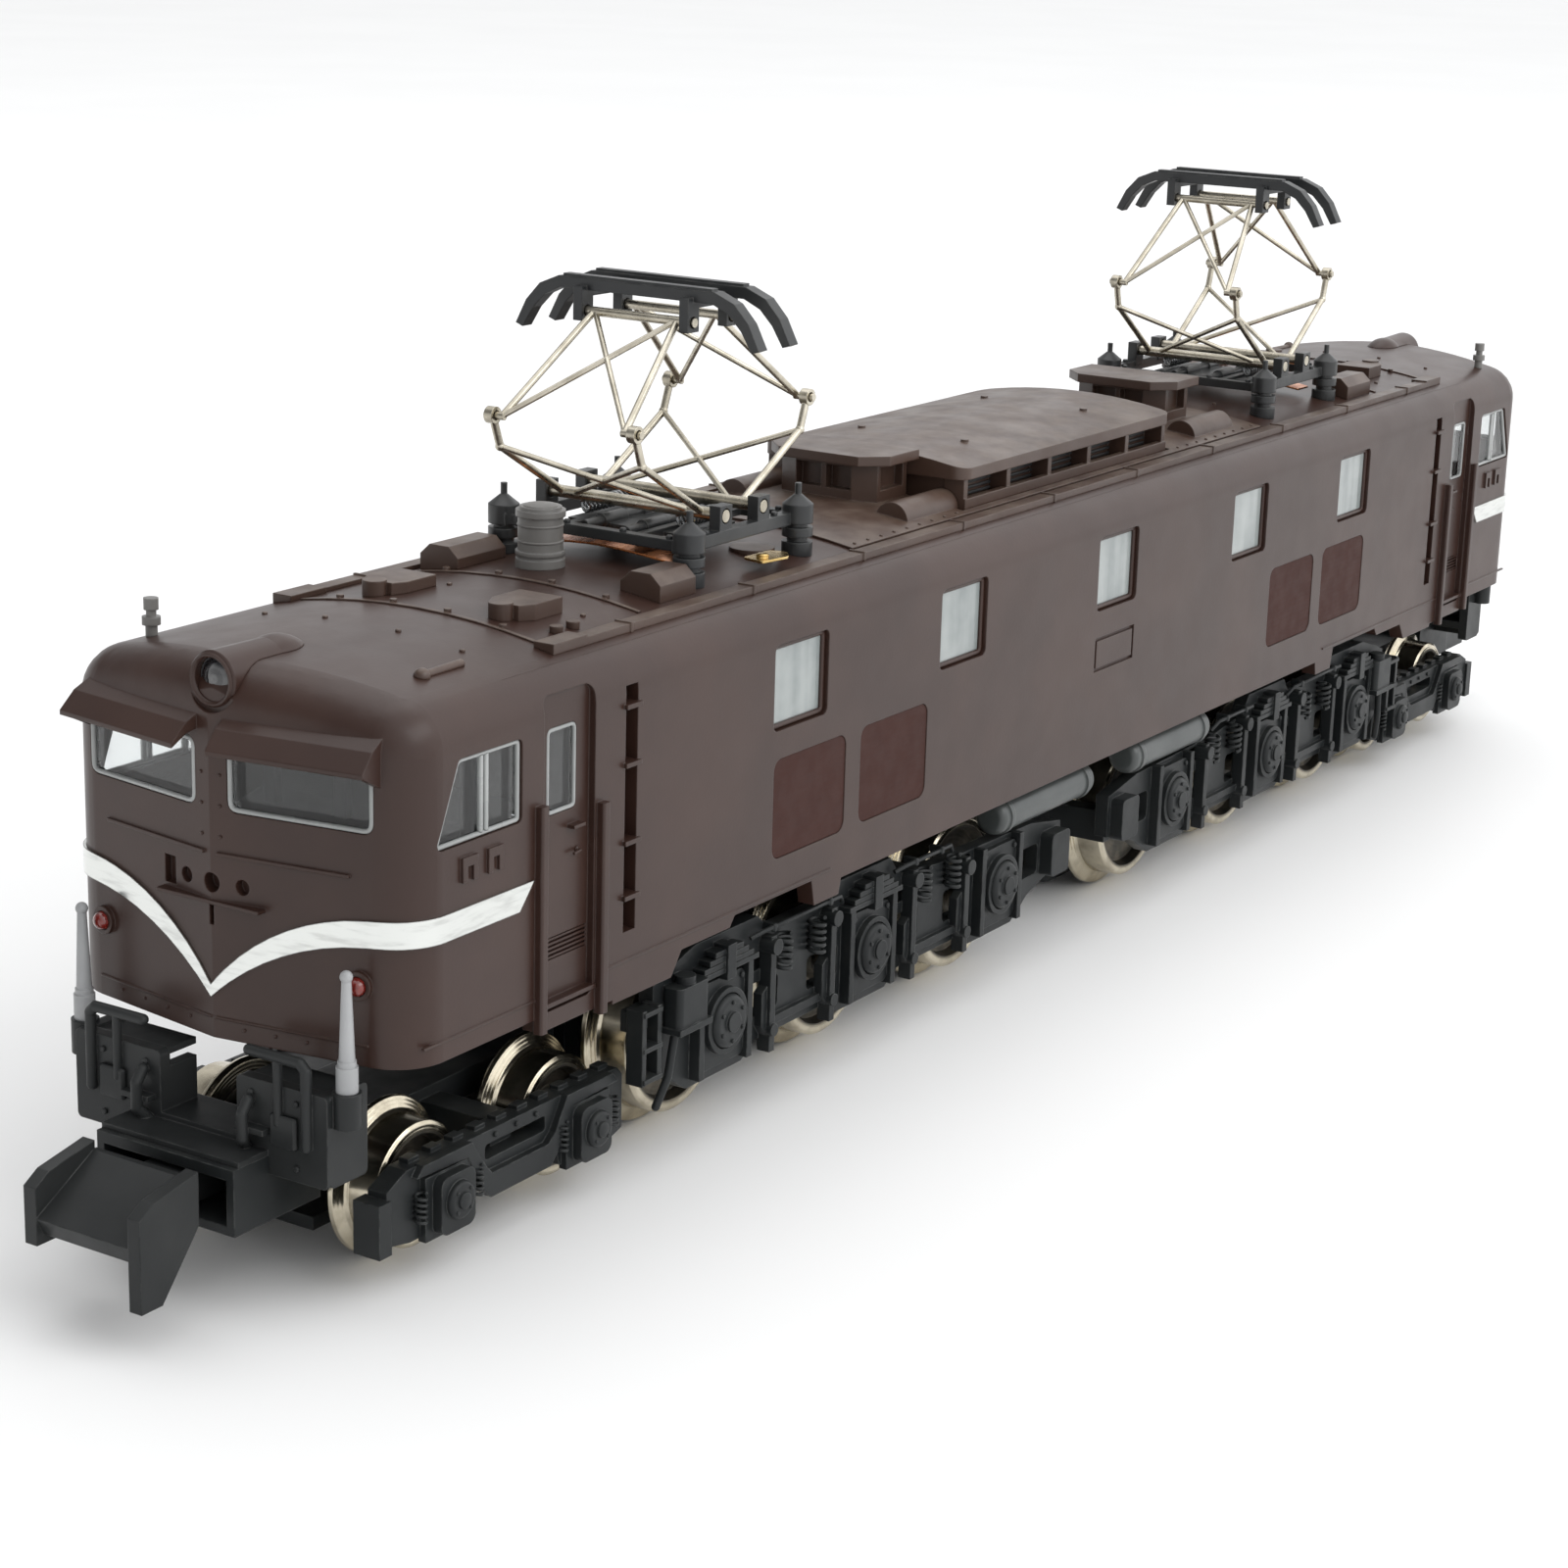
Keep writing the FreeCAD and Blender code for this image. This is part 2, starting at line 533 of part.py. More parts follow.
def whistle():
    """The turned metal whistle on the roof's edge at end a."""
    x, y, z = -57.6, 7.2, 25.0
    return fuse([cyl_z(z, z + 1.2, x, y, 0.26), cyl_z(z + 1.2, z + 1.55, x, y, 0.4),
                 cyl_z(z + 1.55, z + 1.85, x, y, 0.22), cyl_z(z + 1.85, z + 2.35, x, y, 0.32)])


def lightning_arrester():
    """The drum beside pantograph a: a stack of rims and plain bands under a flat cap."""
    x, y, z = -38.3, 1.2, CROWN_Z - 0.05
    bands = ((0.45, 1.15), (0.62, 1.08), (0.8, 1.16), (2.4, 1.05), (2.7, 1.16), (2.85, 0.98))
    drums, base = [], 0.0
    for top, r in bands:
        drums.append(cyl_z(z + base, z + top, x, y, r))
        base = top
    return fuse(drums)


# ---------------------------------------------------------------- pantograph (a end, about PAN_X)
def pan_point(side, angle, along, off):
    """A point of a lower frame at rest: along and off its pivot-to-knee line.  side is -1 for the -X frame."""
    a = math.radians(angle)
    x = PAN_OFFSET + along * math.cos(a) + off * math.sin(a)
    z = PAN_PIVOT_Z + along * math.sin(a) - off * math.cos(a)
    return PAN_X + side * x, z


def head_pivot_z(angle):
    return PAN_PIVOT_Z + 2 * PAN_ARM * math.sin(math.radians(angle))


def insulator(x, y):
    """A ribbed insulator with a pin on top, standing on the roof."""
    return [cyl_z(roof_height(y) - 0.3, 26.6, x, y, 0.75), cyl_z(26.6, 26.85, x, y, 0.5),
            cyl_z(26.85, 27.3, x, y, 0.75), cyl_z(27.3, 27.5, x, y, 0.5), cyl_z(27.5, 28.4, x, y, 0.75),
            Part.makeCone(0.75, 0.2, 0.45, V(x, y, 28.4)), cyl_z(28.8, 29.4, x, y, 0.16)]


def pan_base(shell):
    """The base frame on four insulators, with the frame bearings and spring rods."""
    x0, z = PAN_X, 27.75
    parts = [box(x0 - 5.2, x0 + 5.2, t * 5.05 - 0.3, t * 5.05 + 0.3, z - 0.3, z + 0.3) for t in (-1, 1)]
    parts += [box(x0 + s * INSULATOR_X - 0.28, x0 + s * INSULATOR_X + 0.28, -5.2, 5.2, z - 0.28, z + 0.22)
              for s in (-1, 1)]
    parts += [box(x0 - 2.2, x0 + 2.2, -3.3, 3.3, z - 0.28, z - 0.1)]
    parts += [box(x0 - 4.6, x0 + 4.6, t * 2.0 - 0.22, t * 2.0 + 0.22, z - 0.28, z + 0.08) for t in (-1, 1)]
    for t in (-1, 1):
        for s in (-1, 1):
            x = x0 + s * PAN_OFFSET
            lug = box(x - 0.5, x + 0.5, t * 5.0 - 0.3, t * 5.0 + 0.3, z, PAN_PIVOT_Z + 0.5)
            parts.append(lug.cut(cyl_y(-6, 6, x, PAN_PIVOT_Z, PAN_SHAFT_R + RUN)))
            parts += insulator(x0 + s * INSULATOR_X, t * INSULATOR_Y)
        parts.append(cyl_x(x0 - 3.8, x0 + 3.8, t * 1.2, z + 0.02, 0.25))
        parts += [cyl_x(x0 + c - 0.9, x0 + c + 0.9, t * 1.2, z + 0.02, 0.36) for c in (-1.6, 1.6)]
    whole = fuse(parts).cut(shell)
    return max(whole.Solids, key=lambda s: s.Volume)


def lower_frame(side, angle):
    """A lower frame: cross shaft, two bent side tubes, two crossed braces and the knee eyes."""
    px, pz = pan_point(side, angle, 0, 0)
    kx, kz = pan_point(side, angle, PAN_ARM, 0)
    bx, bz = pan_point(side, angle, 5.7, 0.85)
    y = PAN_LOWER_Y
    parts = [cyl_y(-5.3, 5.3, px, pz, PAN_SHAFT_R)]
    for t in (-1, 1):
        bend = (bx, t * y, bz)
        parts += [bar((px, t * y, pz), bend, 0.18), bar(bend, (kx, t * y, kz), 0.19),
                  Part.makeSphere(0.23, V(*bend)), bar(bend, (px, -t * 3.4, pz), 0.14),
                  cyl_y(t * y - 0.22, t * y + 0.22, kx, kz, 0.4)]
    return fuse(parts).cut(cyl_y(-6, 6, kx, kz, PAN_KNEE_R + RUN))


def upper_frame(side, angle):
    """An upper frame: knee pins, a side tube each side, crossed braces and the head pivot shaft."""
    kx, kz = pan_point(side, angle, PAN_ARM, 0)
    hx, hz = PAN_X + side * PAN_OFFSET, head_pivot_z(angle)
    parts = [cyl_y(-PAN_HEAD_Y - 0.35, PAN_HEAD_Y + 0.35, hx, hz, PAN_HEAD_PIN_R)]
    for t in (-1, 1):
        knee = (kx, t * PAN_UPPER_Y, kz)
        parts += [rod(knee, (hx, t * 2.35, hz), 0.165), rod(knee, (hx, -t * 2.3, hz), 0.135)]
        parts.append(cyl_y(min(t * 3.3, t * 4.4), max(t * 3.3, t * 4.4), kx, kz, PAN_KNEE_R))
    return fuse(parts)


def pan_shoe(x, top):
    """A collector shoe with a drooping horn at each end, and its wearing strip."""
    half = [(4.4, 0.0), (5.5, -0.45), (6.3, -1.3), (6.9, -2.45),
            (6.5, -2.6), (5.9, -1.65), (5.2, -0.95), (4.3, -0.55)]
    outline = [(y, top + z) for y, z in half] + [(-y, top + z) for y, z in reversed(half)]
    return fuse([plate_yz(outline, x - 0.36, x + 0.36), box(x - 0.25, x + 0.25, -4.2, 4.2, top, top + 0.12)])


def pan_head(angle):
    """The collector head: two shoes with drooping horns on four brackets."""
    hz = head_pivot_z(angle)
    top = hz + 1.5
    parts = [pan_shoe(PAN_X + s * 1.3, top) for s in (-1, 1)]
    for t in (-1, 1):
        y0, y1 = sorted((t * (PAN_HEAD_Y - 0.25), t * (PAN_HEAD_Y + 0.25)))
        parts.append(box(PAN_X - 1.4, PAN_X + 1.4, y0, y1, top - 0.85, top - 0.3))
        for s in (-1, 1):
            px = PAN_X + s * PAN_OFFSET
            web = box(px - 0.45, px + 0.45, y0, y1, hz - 0.45, top - 0.35)
            parts.append(web.cut(cyl_y(-6, 6, px, hz, PAN_HEAD_PIN_R + RUN)))
    return fuse(parts)


# ---------------------------------------------------------------- gears, wheels and drive
def gear(teeth, x, z, phase_deg, half=GEAR_HALF, bore=None):
    """A spur gear about Y; phase is the angle of one tooth, from +X towards +Z."""
    pitch_r = MODULE * teeth / 2
    root, tip = pitch_r - 0.46, pitch_r + 0.34
    widths = ((root, 0.74), (pitch_r, 0.5), (tip, 0.24))
    points = []
    for k in range(teeth):
        centre = math.radians(phase_deg) + 2 * math.pi * k / teeth
        for r, w in list(widths):
            points.append((r, centre - w / 2 / r))
        for r, w in reversed(widths):
            points.append((r, centre + w / 2 / r))
    outline = [(x + r * math.cos(a), z + r * math.sin(a)) for r, a in points]
    body = plate_xz(outline, -half, half)
    return body.cut(cyl_y(-2, 2, x, z, bore)) if bore else body


def wheel(x, z, tyre_r, tread_r):
    """The +Y wheel of a set: flange, coned tread, dished face and hub."""
    y = BACK_TO_BACK / 2
    face_y = y + WHEEL_W
    profile = [(y, 0), (y, tyre_r - 0.15), (y + 0.2, tyre_r), (y + 0.38, tyre_r - 0.05),
               (y + FLANGE_W, tread_r + 0.12), (y + FLANGE_W + 0.15, tread_r),
               (face_y - 0.1, tread_r - 0.06), (face_y, tread_r - 0.2), (face_y, tread_r - 0.62),
               (face_y - 0.55, tread_r - 0.8), (face_y - 0.55, 1.35), (face_y - 0.1, 1.15), (face_y - 0.1, 0)]
    face = face_of([V(x, py, z + r) for py, r in profile])
    return face.revolve(V(x, 0, z), V(0, 1, 0), 360)


def wheelset(x, radius, tread_r, axle_end, axle_r, phase=None):
    """Two wheels on an axle, with a drive gear in the middle if phase is given."""
    right = wheel(x, radius, radius, tread_r)
    axle = cyl_y(-axle_end, axle_end, x, radius, axle_r)
    parts = both_sides(right.cut(axle)) + [axle]
    if phase is not None:
        parts.append(gear(AXLE_TEETH, x, radius, phase, bore=axle_r))
    return Part.makeCompound([s for p in parts for s in p.Solids])


def worm():
    """The single-start worm over bogie a, on the motor shaft's line."""
    length, pitch = 6.2, math.pi * MODULE
    turns = 5.0
    start = -pitch * turns / 2
    helix = Part.makeHelix(pitch, pitch * turns, WORM_CORE_R)
    depth = WORM_CREST_R - WORM_CORE_R
    profile = Part.makePolygon([V(WORM_CORE_R - 0.25, 0, -0.36), V(WORM_CORE_R + depth, 0, -0.13),
                                V(WORM_CORE_R + depth, 0, 0.13), V(WORM_CORE_R - 0.25, 0, 0.36),
                                V(WORM_CORE_R - 0.25, 0, -0.36)])
    thread = Part.Wire(helix).makePipeShell([profile], True, True)
    thread.translate(V(0, 0, start))
    core = Part.makeCylinder(WORM_CORE_R, length, V(0, 0, -length / 2))
    body = core.fuse(thread)
    body.rotate(V(0, 0, 0), V(0, 1, 0), 90)
    body.rotate(V(0, 0, 0), V(1, 0, 0), 180)     # the thread's crest is lowest at the worm's middle
    body.translate(V(BOGIE_X, 0, SHAFT_Z))
    return body.cut(cyl_x(BOGIE_X - 6, BOGIE_X + 6, 0, SHAFT_Z, 0.5))


def motor_shaft():
    """The shaft from worm to worm with its couplings, and a flywheel at each end of the motor."""
    shaft = fuse([cyl_x(-29.4, 29.4, 0, SHAFT_Z, 0.5)] + both_ends(cyl_x(-17.9, -15.9, 0, SHAFT_Z, 1.2)))
    disc = cyl_x(-15.4, -10.4, 0, SHAFT_Z, 3.9).cut(cyl_x(-16, -10, 0, SHAFT_Z, 0.5))
    flywheel = disc.makeFillet(0.3, [e for e in disc.Edges if e.Length > 20])
    return Part.makeCompound([shaft] + both_ends(flywheel))


MOTOR_HALF, MOTOR_H = 8.6, 4.5


def motor_case():
    """The flat-sided motor can, open along its shaft."""
    top = SHAFT_Z + MOTOR_H
    can = rounded(box(-MOTOR_HALF, MOTOR_HALF, -5.4, 5.4, SHAFT_Z - MOTOR_H, top), 2.2, V(1, 0, 0))
    ends = [cyl_x(s * MOTOR_HALF - 0.8, s * MOTOR_HALF + 0.8, 0, SHAFT_Z, 2.0) for s in (-1, 1)]
    terminals = both_sides(box(-7.6, -6.0, 1.5, 2.9, top - 0.1, top + 0.35))
    return fuse([can] + ends + terminals).cut(cyl_x(-12, 12, 0, SHAFT_Z, 0.5 + RUN))


# ---------------------------------------------------------------- chassis
COLLAR_R = 5.3


def chassis_half():
    """The +Y half of the die-cast chassis that carries the motor, worms and bogie pivots."""
    low, high = FLOOR_Z, 21.7
    block = plate_xz([(-58.0, low + 0.8), (-58.0, 15.5), (-50.0, 17.5), (-43.0, high), (43.0, high),
                      (50.0, 17.5), (58.0, 15.5), (58.0, low + 0.8), (57.2, low), (-57.2, low)], 0.1, 7.6)
    holes = [box(-MOTOR_HALF - 0.9, MOTOR_HALF + 0.9, -1, 5.6, SHAFT_Z - 4.7, 23),
             cyl_x(-30.5, 30.5, 0, SHAFT_Z, 1.5)]
    for s in (-1, 1):
        x = s * -BOGIE_X
        holes += [cyl_z(low - 1, low + 1.6, x, 0, COLLAR_R + 0.1),
                  box(x - 5.5, x + 5.5, -1, 3.3, low, SHAFT_Z + 2.3),
                  cyl_x(min(s * 9.3, s * 16.2), max(s * 9.3, s * 16.2), 0, SHAFT_Z, 4.2),
                  cyl_x(min(s * 16.2, s * 19.0), max(s * 16.2, s * 19.0), 0, SHAFT_Z, 1.6)]
    body = block.cut(holes)
    bearings = []
    for x in (-29.0, -18.9, 18.9, 29.0):
        bearings.append(box(x - 0.7, x + 0.7, 0.1, 4.0, SHAFT_Z - 2.0, SHAFT_Z + 2.0).cut(
            cyl_x(x - 1, x + 1, 0, SHAFT_Z, 0.5 + RUN)))
    screws = both_ends(cyl_y(7.5, 7.9, 36, 13.2, 1.0).cut(box(34.8, 37.2, 7.75, 8.2, 13.1, 13.3)))
    lugs = both_ends(box(38.5, 41.5, 7.5, 8.35, 14.0, 16.0))
    return fuse([body] + bearings + screws + lugs)


def light_board():
    """The circuit board on top of the chassis, with a lamp and a diode block at each end."""
    board = box(-50.0, 50.0, -4.4, 4.4, 21.9, 22.6).cut([box(-10, 10, -6, 6, 21, 21.5)])
    feet = four(box(39.2, 40.8, 2.2, 3.8, 21.7, 21.95))
    lamp = fuse([box(-53.6, -49.8, -1.0, 1.0, 21.9, 23.7), Part.makeSphere(0.9, V(-53.8, 0, 22.9))])
    chips = both_ends(box(-46.0, -43.0, -2.0, 2.0, 22.5, 23.3))
    return fuse([board] + feet + both_ends(lamp) + chips)


TANKS = ((-11.1, -0.7), (4.25, 14.0))       # along the -Y side
TANK_Y, TANK_Z, TANK_R = 8.1, 9.6, 0.96


def air_tank(x0, x1):
    """An air reservoir on the -Y side, with straps and hangers from its mounting rail."""
    tank = cyl_x(x0, x1, -TANK_Y, TANK_Z, TANK_R)
    tank = tank.makeFillet(0.4, [e for e in tank.Edges if e.Closed and e.Length > 5])
    parts = [tank, box(x0 - 0.1, x1 + 0.1, -8.25, -7.0, 10.5, FLOOR_Z - 0.02)]
    for x in (x0 + 0.9, x1 - 0.9):
        parts.append(cyl_x(x - 0.18, x + 0.18, -TANK_Y, TANK_Z, TANK_R + 0.09))
        parts.append(box(x - 0.3, x + 0.3, -8.3, -7.5, 10.0, 11.0))
    return fuse(parts)


def air_tanks():
    """The underfloor air reservoirs, two along each side."""
    tanks = [air_tank(*span) for span in TANKS]
    return Part.makeCompound(tanks + [turned(tank) for tank in tanks])


# ---------------------------------------------------------------- driving bogie (a end)
AXLES = tuple(BOGIE_X + d * AXLE_STEP for d in (-1, 0, 1))
IDLERS = tuple(BOGIE_X + d * AXLE_STEP / 2 for d in (-1, 1))
AXLE_PHASES = (360 / AXLE_TEETH / 2, 0.0, 360 / AXLE_TEETH / 2)
IDLER_PHASES = (180.0, 0.0)
PLATE_Y = (1.15, 2.3)


def gear_plate():
    """The +Y side plate of the gear case."""
    x0, x1 = AXLES[0] - 4.0, AXLES[2] + 4.0
    outline = [(x0, 1.15), (x0, 7.8), (x0 + 1, 8.7), (BOGIE_X - 4.6, 8.7), (BOGIE_X - 4.6, 14.2),
               (BOGIE_X + 4.6, 14.2), (BOGIE_X + 4.6, 8.7), (x1 - 1, 8.7), (x1, 7.8), (x1, 1.15)]
    plate = plate_xz(outline, *PLATE_Y)
    return plate.cut([cyl_y(0, 3, x, AXLE_Z, AXLE_R + RUN) for x in AXLES])


COVER_Z = 5.9            # middle of the dummy axlebox covers
SIDE_Y = FRAME_Y + 0.75  # outer face of the side frame's slab


def side_frame_outline():
    """The +Y bogie side frame's outer line: a top edge in steps, and a deeper bottom under each axle."""
    top = [(-42.0, 6.9), (-42.0, 8.9), (-41.0, 9.3), (-38.6, 10.0), (-33.4, 10.0), (-32.4, 9.1), (-26.9, 9.1),
           (-26.3, 9.9), (-21.2, 9.9), (-20.4, 8.9), (-16.4, 8.4), (-6.3, 8.2), (-2.9, 7.6), (-2.9, 5.2)]
    bottom = [(-6.4, 4.2)]
    for x in reversed(AXLES):
        bottom += [(x + 3.4, 3.8), (x + 2.2, 3.1), (x - 2.4, 3.1), (x - 3.6, 3.8)]
    return top + bottom[:-1] + [(-40.6, 4.0), (-41.4, 4.6)]


def axlebox(x):
    """A dummy axlebox between its horns, with a round cover and keeper bolts."""
    y = SIDE_Y
    cover = cyl_y(y, y + 1.0, x, COVER_Z, 1.3)
    cover = cover.makeFillet(0.3, [e for e in cover.Edges if abs(e.CenterOfMass.y - y - 1.0) < 1e-6])
    parts = [rounded(box(x - 1.8, x + 1.8, y, y + 0.4, 3.7, 8.0), 0.35, V(0, 1, 0)), cover,
             ring_y(y, y + 0.75, x, COVER_Z, 1.62, 1.35), cyl_y(y, y + 1.15, x, COVER_Z, 0.5)]
    for s in (-1, 1):
        parts += [box(x + s * 2.0 - 0.2, x + s * 2.0 + 0.2, y, y + 0.65, 3.5, 8.3),
                  cyl_y(y, y + 0.35, x + s * 1.3, 4.1, 0.2)]
    return parts


def leaf_spring(x):
    """The leaf spring over an axlebox, with its buckle."""
    y = SIDE_Y
    leaves = []
    for k in range(4):
        half, z = 2.5 - 0.45 * k, 8.35 + 0.3 * k
        leaves.append(box(x - half, x + half, y, y + 0.75, z, z + 0.25))
    return leaves + [box(x - 0.35, x + 0.35, y, y + 0.9, 8.0, 9.7)]


def brake_hanger(x, top):
    """A brake hanger with its pins, shoe and pull rod bracket."""
    y = SIDE_Y
    shoe = plate_xz([(x - 0.2, 4.0), (x - 0.65, 4.6), (x - 0.65, 6.2), (x - 0.2, 6.5)], y, y + 0.5)
    return [box(x - 0.22, x + 0.22, y, y + 0.7, 3.2, top), cyl_y(y, y + 0.95, x, top - 0.5, 0.4),
            cyl_y(y, y + 0.85, x, 4.3, 0.32), shoe]


def sandbox():
    """The sandbox with its filler cap and delivery pipe, and the bracket with steps before it."""
    y = SIDE_Y
    tank = rounded(box(-41.3, -38.9, y, y + 1.1, 6.7, 8.7), 0.3, V(0, 0, 1))
    parts = [tank, box(-41.4, -38.8, y, y + 1.2, 6.5, 6.8), cyl_z(8.6, 9.05, -40.1, y + 0.5, 0.5)]
    pipe = [(-40.8, y + 0.5, 6.6), (-41.2, y + 0.4, 4.4), (-41.7, y + 0.1, 3.0)]
    parts += [rod(p, q, 0.2) for p, q in zip(pipe, pipe[1:])]
    ladder = [box(x - 0.15, x + 0.15, y - 0.3, y + 0.6, 4.6, 8.2) for x in (-43.4, -42.2)]
    ladder += [box(-43.5, -42.1, y - 0.2, y + 0.7, z, z + 0.22) for z in (4.7, 6.2, 7.9)]
    return parts + ladder + [box(-43.4, -41.8, FRAME_Y, y, 7.0, 8.0)]


def side_frame():
    """The +Y side frame of the driving bogie: open slab, axleboxes, springs, brake gear and sandbox."""
    slab = plate_xz(side_frame_outline(), FRAME_Y, FRAME_Y + 0.8)
    openings = []
    for x in AXLES[:2]:
        for x0, x1 in ((2.5, 5.3), (7.9, 10.7)):
            openings.append(box(x + x0, x + x1, 7, 9, 5.0, 6.7))
            openings.append(box(x + x0, x + x1, 7, 9, 7.3, 8.2))
    openings.append(box(-8.2 + 0.3, -5.4, 7, 9, 5.2, 6.9))
    parts = [slab.cut([rounded(o, 0.3, V(0, 1, 0)) for o in openings])]
    for x in AXLES:
        parts += axlebox(x)
    for x in AXLES[:2]:
        parts += leaf_spring(x)
        parts += brake_hanger(x + 3.9, 9.0) + brake_hanger(x + 9.3, 9.0 if x == AXLES[0] else 8.35)
        parts.append(box(x + 3.9, x + 9.3, SIDE_Y, SIDE_Y + 0.35, 4.3, 4.7))
    parts += sandbox()
    parts.append(rounded(box(-5.2, -3.2, SIDE_Y, SIDE_Y + 0.85, 5.0, 7.4), 0.3, V(0, 1, 0)))
    return fuse(parts)


def bogie_frame():
    """Driving bogie a: two side frames, the gear case, cross members, pivot collar and idler pins."""
    parts = both_sides(side_frame()) + both_sides(gear_plate())
    for x in (AXLES[0] + 6.6, AXLES[1] + 6.6):
        parts += both_sides(box(x - 1.1, x + 1.1, PLATE_Y[0], FRAME_Y + 0.2, 6.3, 7.9))
    parts.append(box(-4.9, -3.7, -FRAME_Y - 0.2, FRAME_Y + 0.2, 4.6, 6.4))
    parts.append(box(AXLES[2] + 3.9, -3.8, -PLATE_Y[1], PLATE_Y[1], 4.6, 6.4))
    parts.append(box(AXLES[0] - 4.2, AXLES[0] - 3.7, -PLATE_Y[1], PLATE_Y[1], 1.15, 4.0))
    parts.append(box(TRUCK_PIVOT_X - 1.0, AXLES[0] - 3.9, -1.9, 1.9, 2.5, 4.0))
    parts.append(cyl_z(3.9, 6.3, TRUCK_PIVOT_X, 0, 0.55))
    ring = cyl_z(FLOOR_Z - 0.6, FLOOR_Z + 1.3, BOGIE_X, 0, COLLAR_R).cut(cyl_z(8, 15, BOGIE_X, 0, 4.4))
    parts.append(ring)
    for x in IDLERS:
        parts.append(cyl_y(-PLATE_Y[1], PLATE_Y[1], x, AXLE_Z, 0.5))
    parts.append(cyl_y(-PLATE_Y[1], PLATE_Y[1], BOGIE_X, TOWER_Z, 0.5))
    return fuse(parts)


def bogie_keeper():
    """The snap-on cover under the gear case, with its clips."""
    plate = rounded(box(AXLES[0] - 3.9, AXLES[2] + 3.9, -2.5, 2.5, 0.5, 1.1), 0.6, V(0, 0, 1))
    clips = [s for x in IDLERS for s in both_sides(box(x - 1.0, x + 1.0, 2.35, 2.6, 0.6, 2.6))]
    places = (AXLES[0] + 2, AXLES[1] - 2, AXLES[1] + 2, AXLES[2] - 2)
    ribs = [box(x - 0.3, x + 0.3, -2.2, 2.2, 0.35, 0.6) for x in places]
    return fuse([plate] + clips + ribs)


# ---------------------------------------------------------------- leading truck (a end)
def truck_side():
    """The +Y side frame of the leading truck: top bar, horns, equaliser and journal boxes."""
    y0, y1 = 6.3, 7.3
    outline = [(-59.9, 2.3), (-59.9, 4.7), (-58.6, 5.3), (-43.6, 5.3), (-43.2, 4.9), (-43.2, 2.3),
               (-44.2, 2.0), (-47.9, 2.0), (-48.4, 3.4), (-53.8, 3.4), (-54.4, 2.0), (-58.4, 2.0)]
    slab = plate_xz(outline, y0, y1)
    slab = slab.cut([rounded(box(-53.3, -49.0, 6, 8, 4.0, 4.7), 0.2, V(0, 1, 0))])
    line = [(-58.3, 4.9), (-57.9, 5.35), (-54.6, 5.35), (-53.6, 3.9), (-53.2, 3.5), (-49.2, 3.5),
            (-48.7, 3.9), (-47.8, 5.35), (-44.4, 5.35), (-44.0, 4.9), (-47.4, 4.75), (-48.5, 2.9),
            (-49.0, 2.4), (-53.3, 2.4), (-53.8, 2.9), (-54.9, 4.75)]
    equaliser = plate_xz(line, y1 - 0.1, y1 + 0.35)
    parts = [slab, equaliser]
    for x in LEADER_X:
        journal = rounded(box(x - 1.15, x + 1.15, y1 - 0.1, y1 + 0.8, 2.0, 4.6), 0.45, V(0, 1, 0))
        parts += [journal, box(x - 1.6, x + 1.6, y1 - 0.1, y1 + 0.3, 1.8, 4.7)]
        boss = cyl_y(y1 + 0.6, y1 + 1.1, x, LEADER_R - 0.1, 0.85)
        parts.append(boss.makeFillet(0.2, [e for e in boss.Edges if abs(e.CenterOfMass.y - y1 - 1.1) < 1e-6]))
    bumps = [box(-58.0 + 1.5 * k, -57.3 + 1.5 * k, y0 + 0.1, y0 + 0.6, 5.2, 5.5) for k in range(10)]
    guard = plate_xz([(-60.6, 2.0), (-60.6, 4.4), (-59.8, 4.4), (-59.8, 2.0)], y0 - 0.2, y1 + 0.2)
    side = fuse(parts + bumps + [guard])
    return side.cut([cyl_y(6, y0 + 0.75, x, LEADER_R, 0.4 + RUN) for x in LEADER_X])


POCKET = (-65.2, -59.9, -3.75, 3.75, 3.7, 6.6)          # the coupler pocket at the truck's front
POCKET_SPACE = (-67.0, -60.6, -3.35, 3.35, 4.1, 6.1)
COUPLER_X = -62.0


def truck_frame():
    """Leading truck a: spine with the pivot eye, cross beam, side frames, keel and coupler pocket."""
    spine = box(-62.4, TRUCK_PIVOT_X, -2.6, 2.6, 4.35, 5.7)
    eye = cyl_z(4.35, 5.7, TRUCK_PIVOT_X, 0, 1.5)
    beam = box(-51.9, -50.4, -6.5, 6.5, 2.6, 5.2)
    keel = [box(-58.6, -43.8, -2.2, 2.2, 1.3, 1.9), box(-51.9, -50.4, -2.2, 2.2, 1.3, 3.0)]
    body = fuse([spine, eye, beam, box(*POCKET)] + keel + both_sides(truck_side()))
    body = body.cut([cyl_z(3, 7, TRUCK_PIVOT_X, 0, 0.55 + RUN), box(*POCKET_SPACE)])
    pin = cyl_z(3.8, 6.4, COUPLER_X, 0, 0.5)
    return fuse([body, pin])


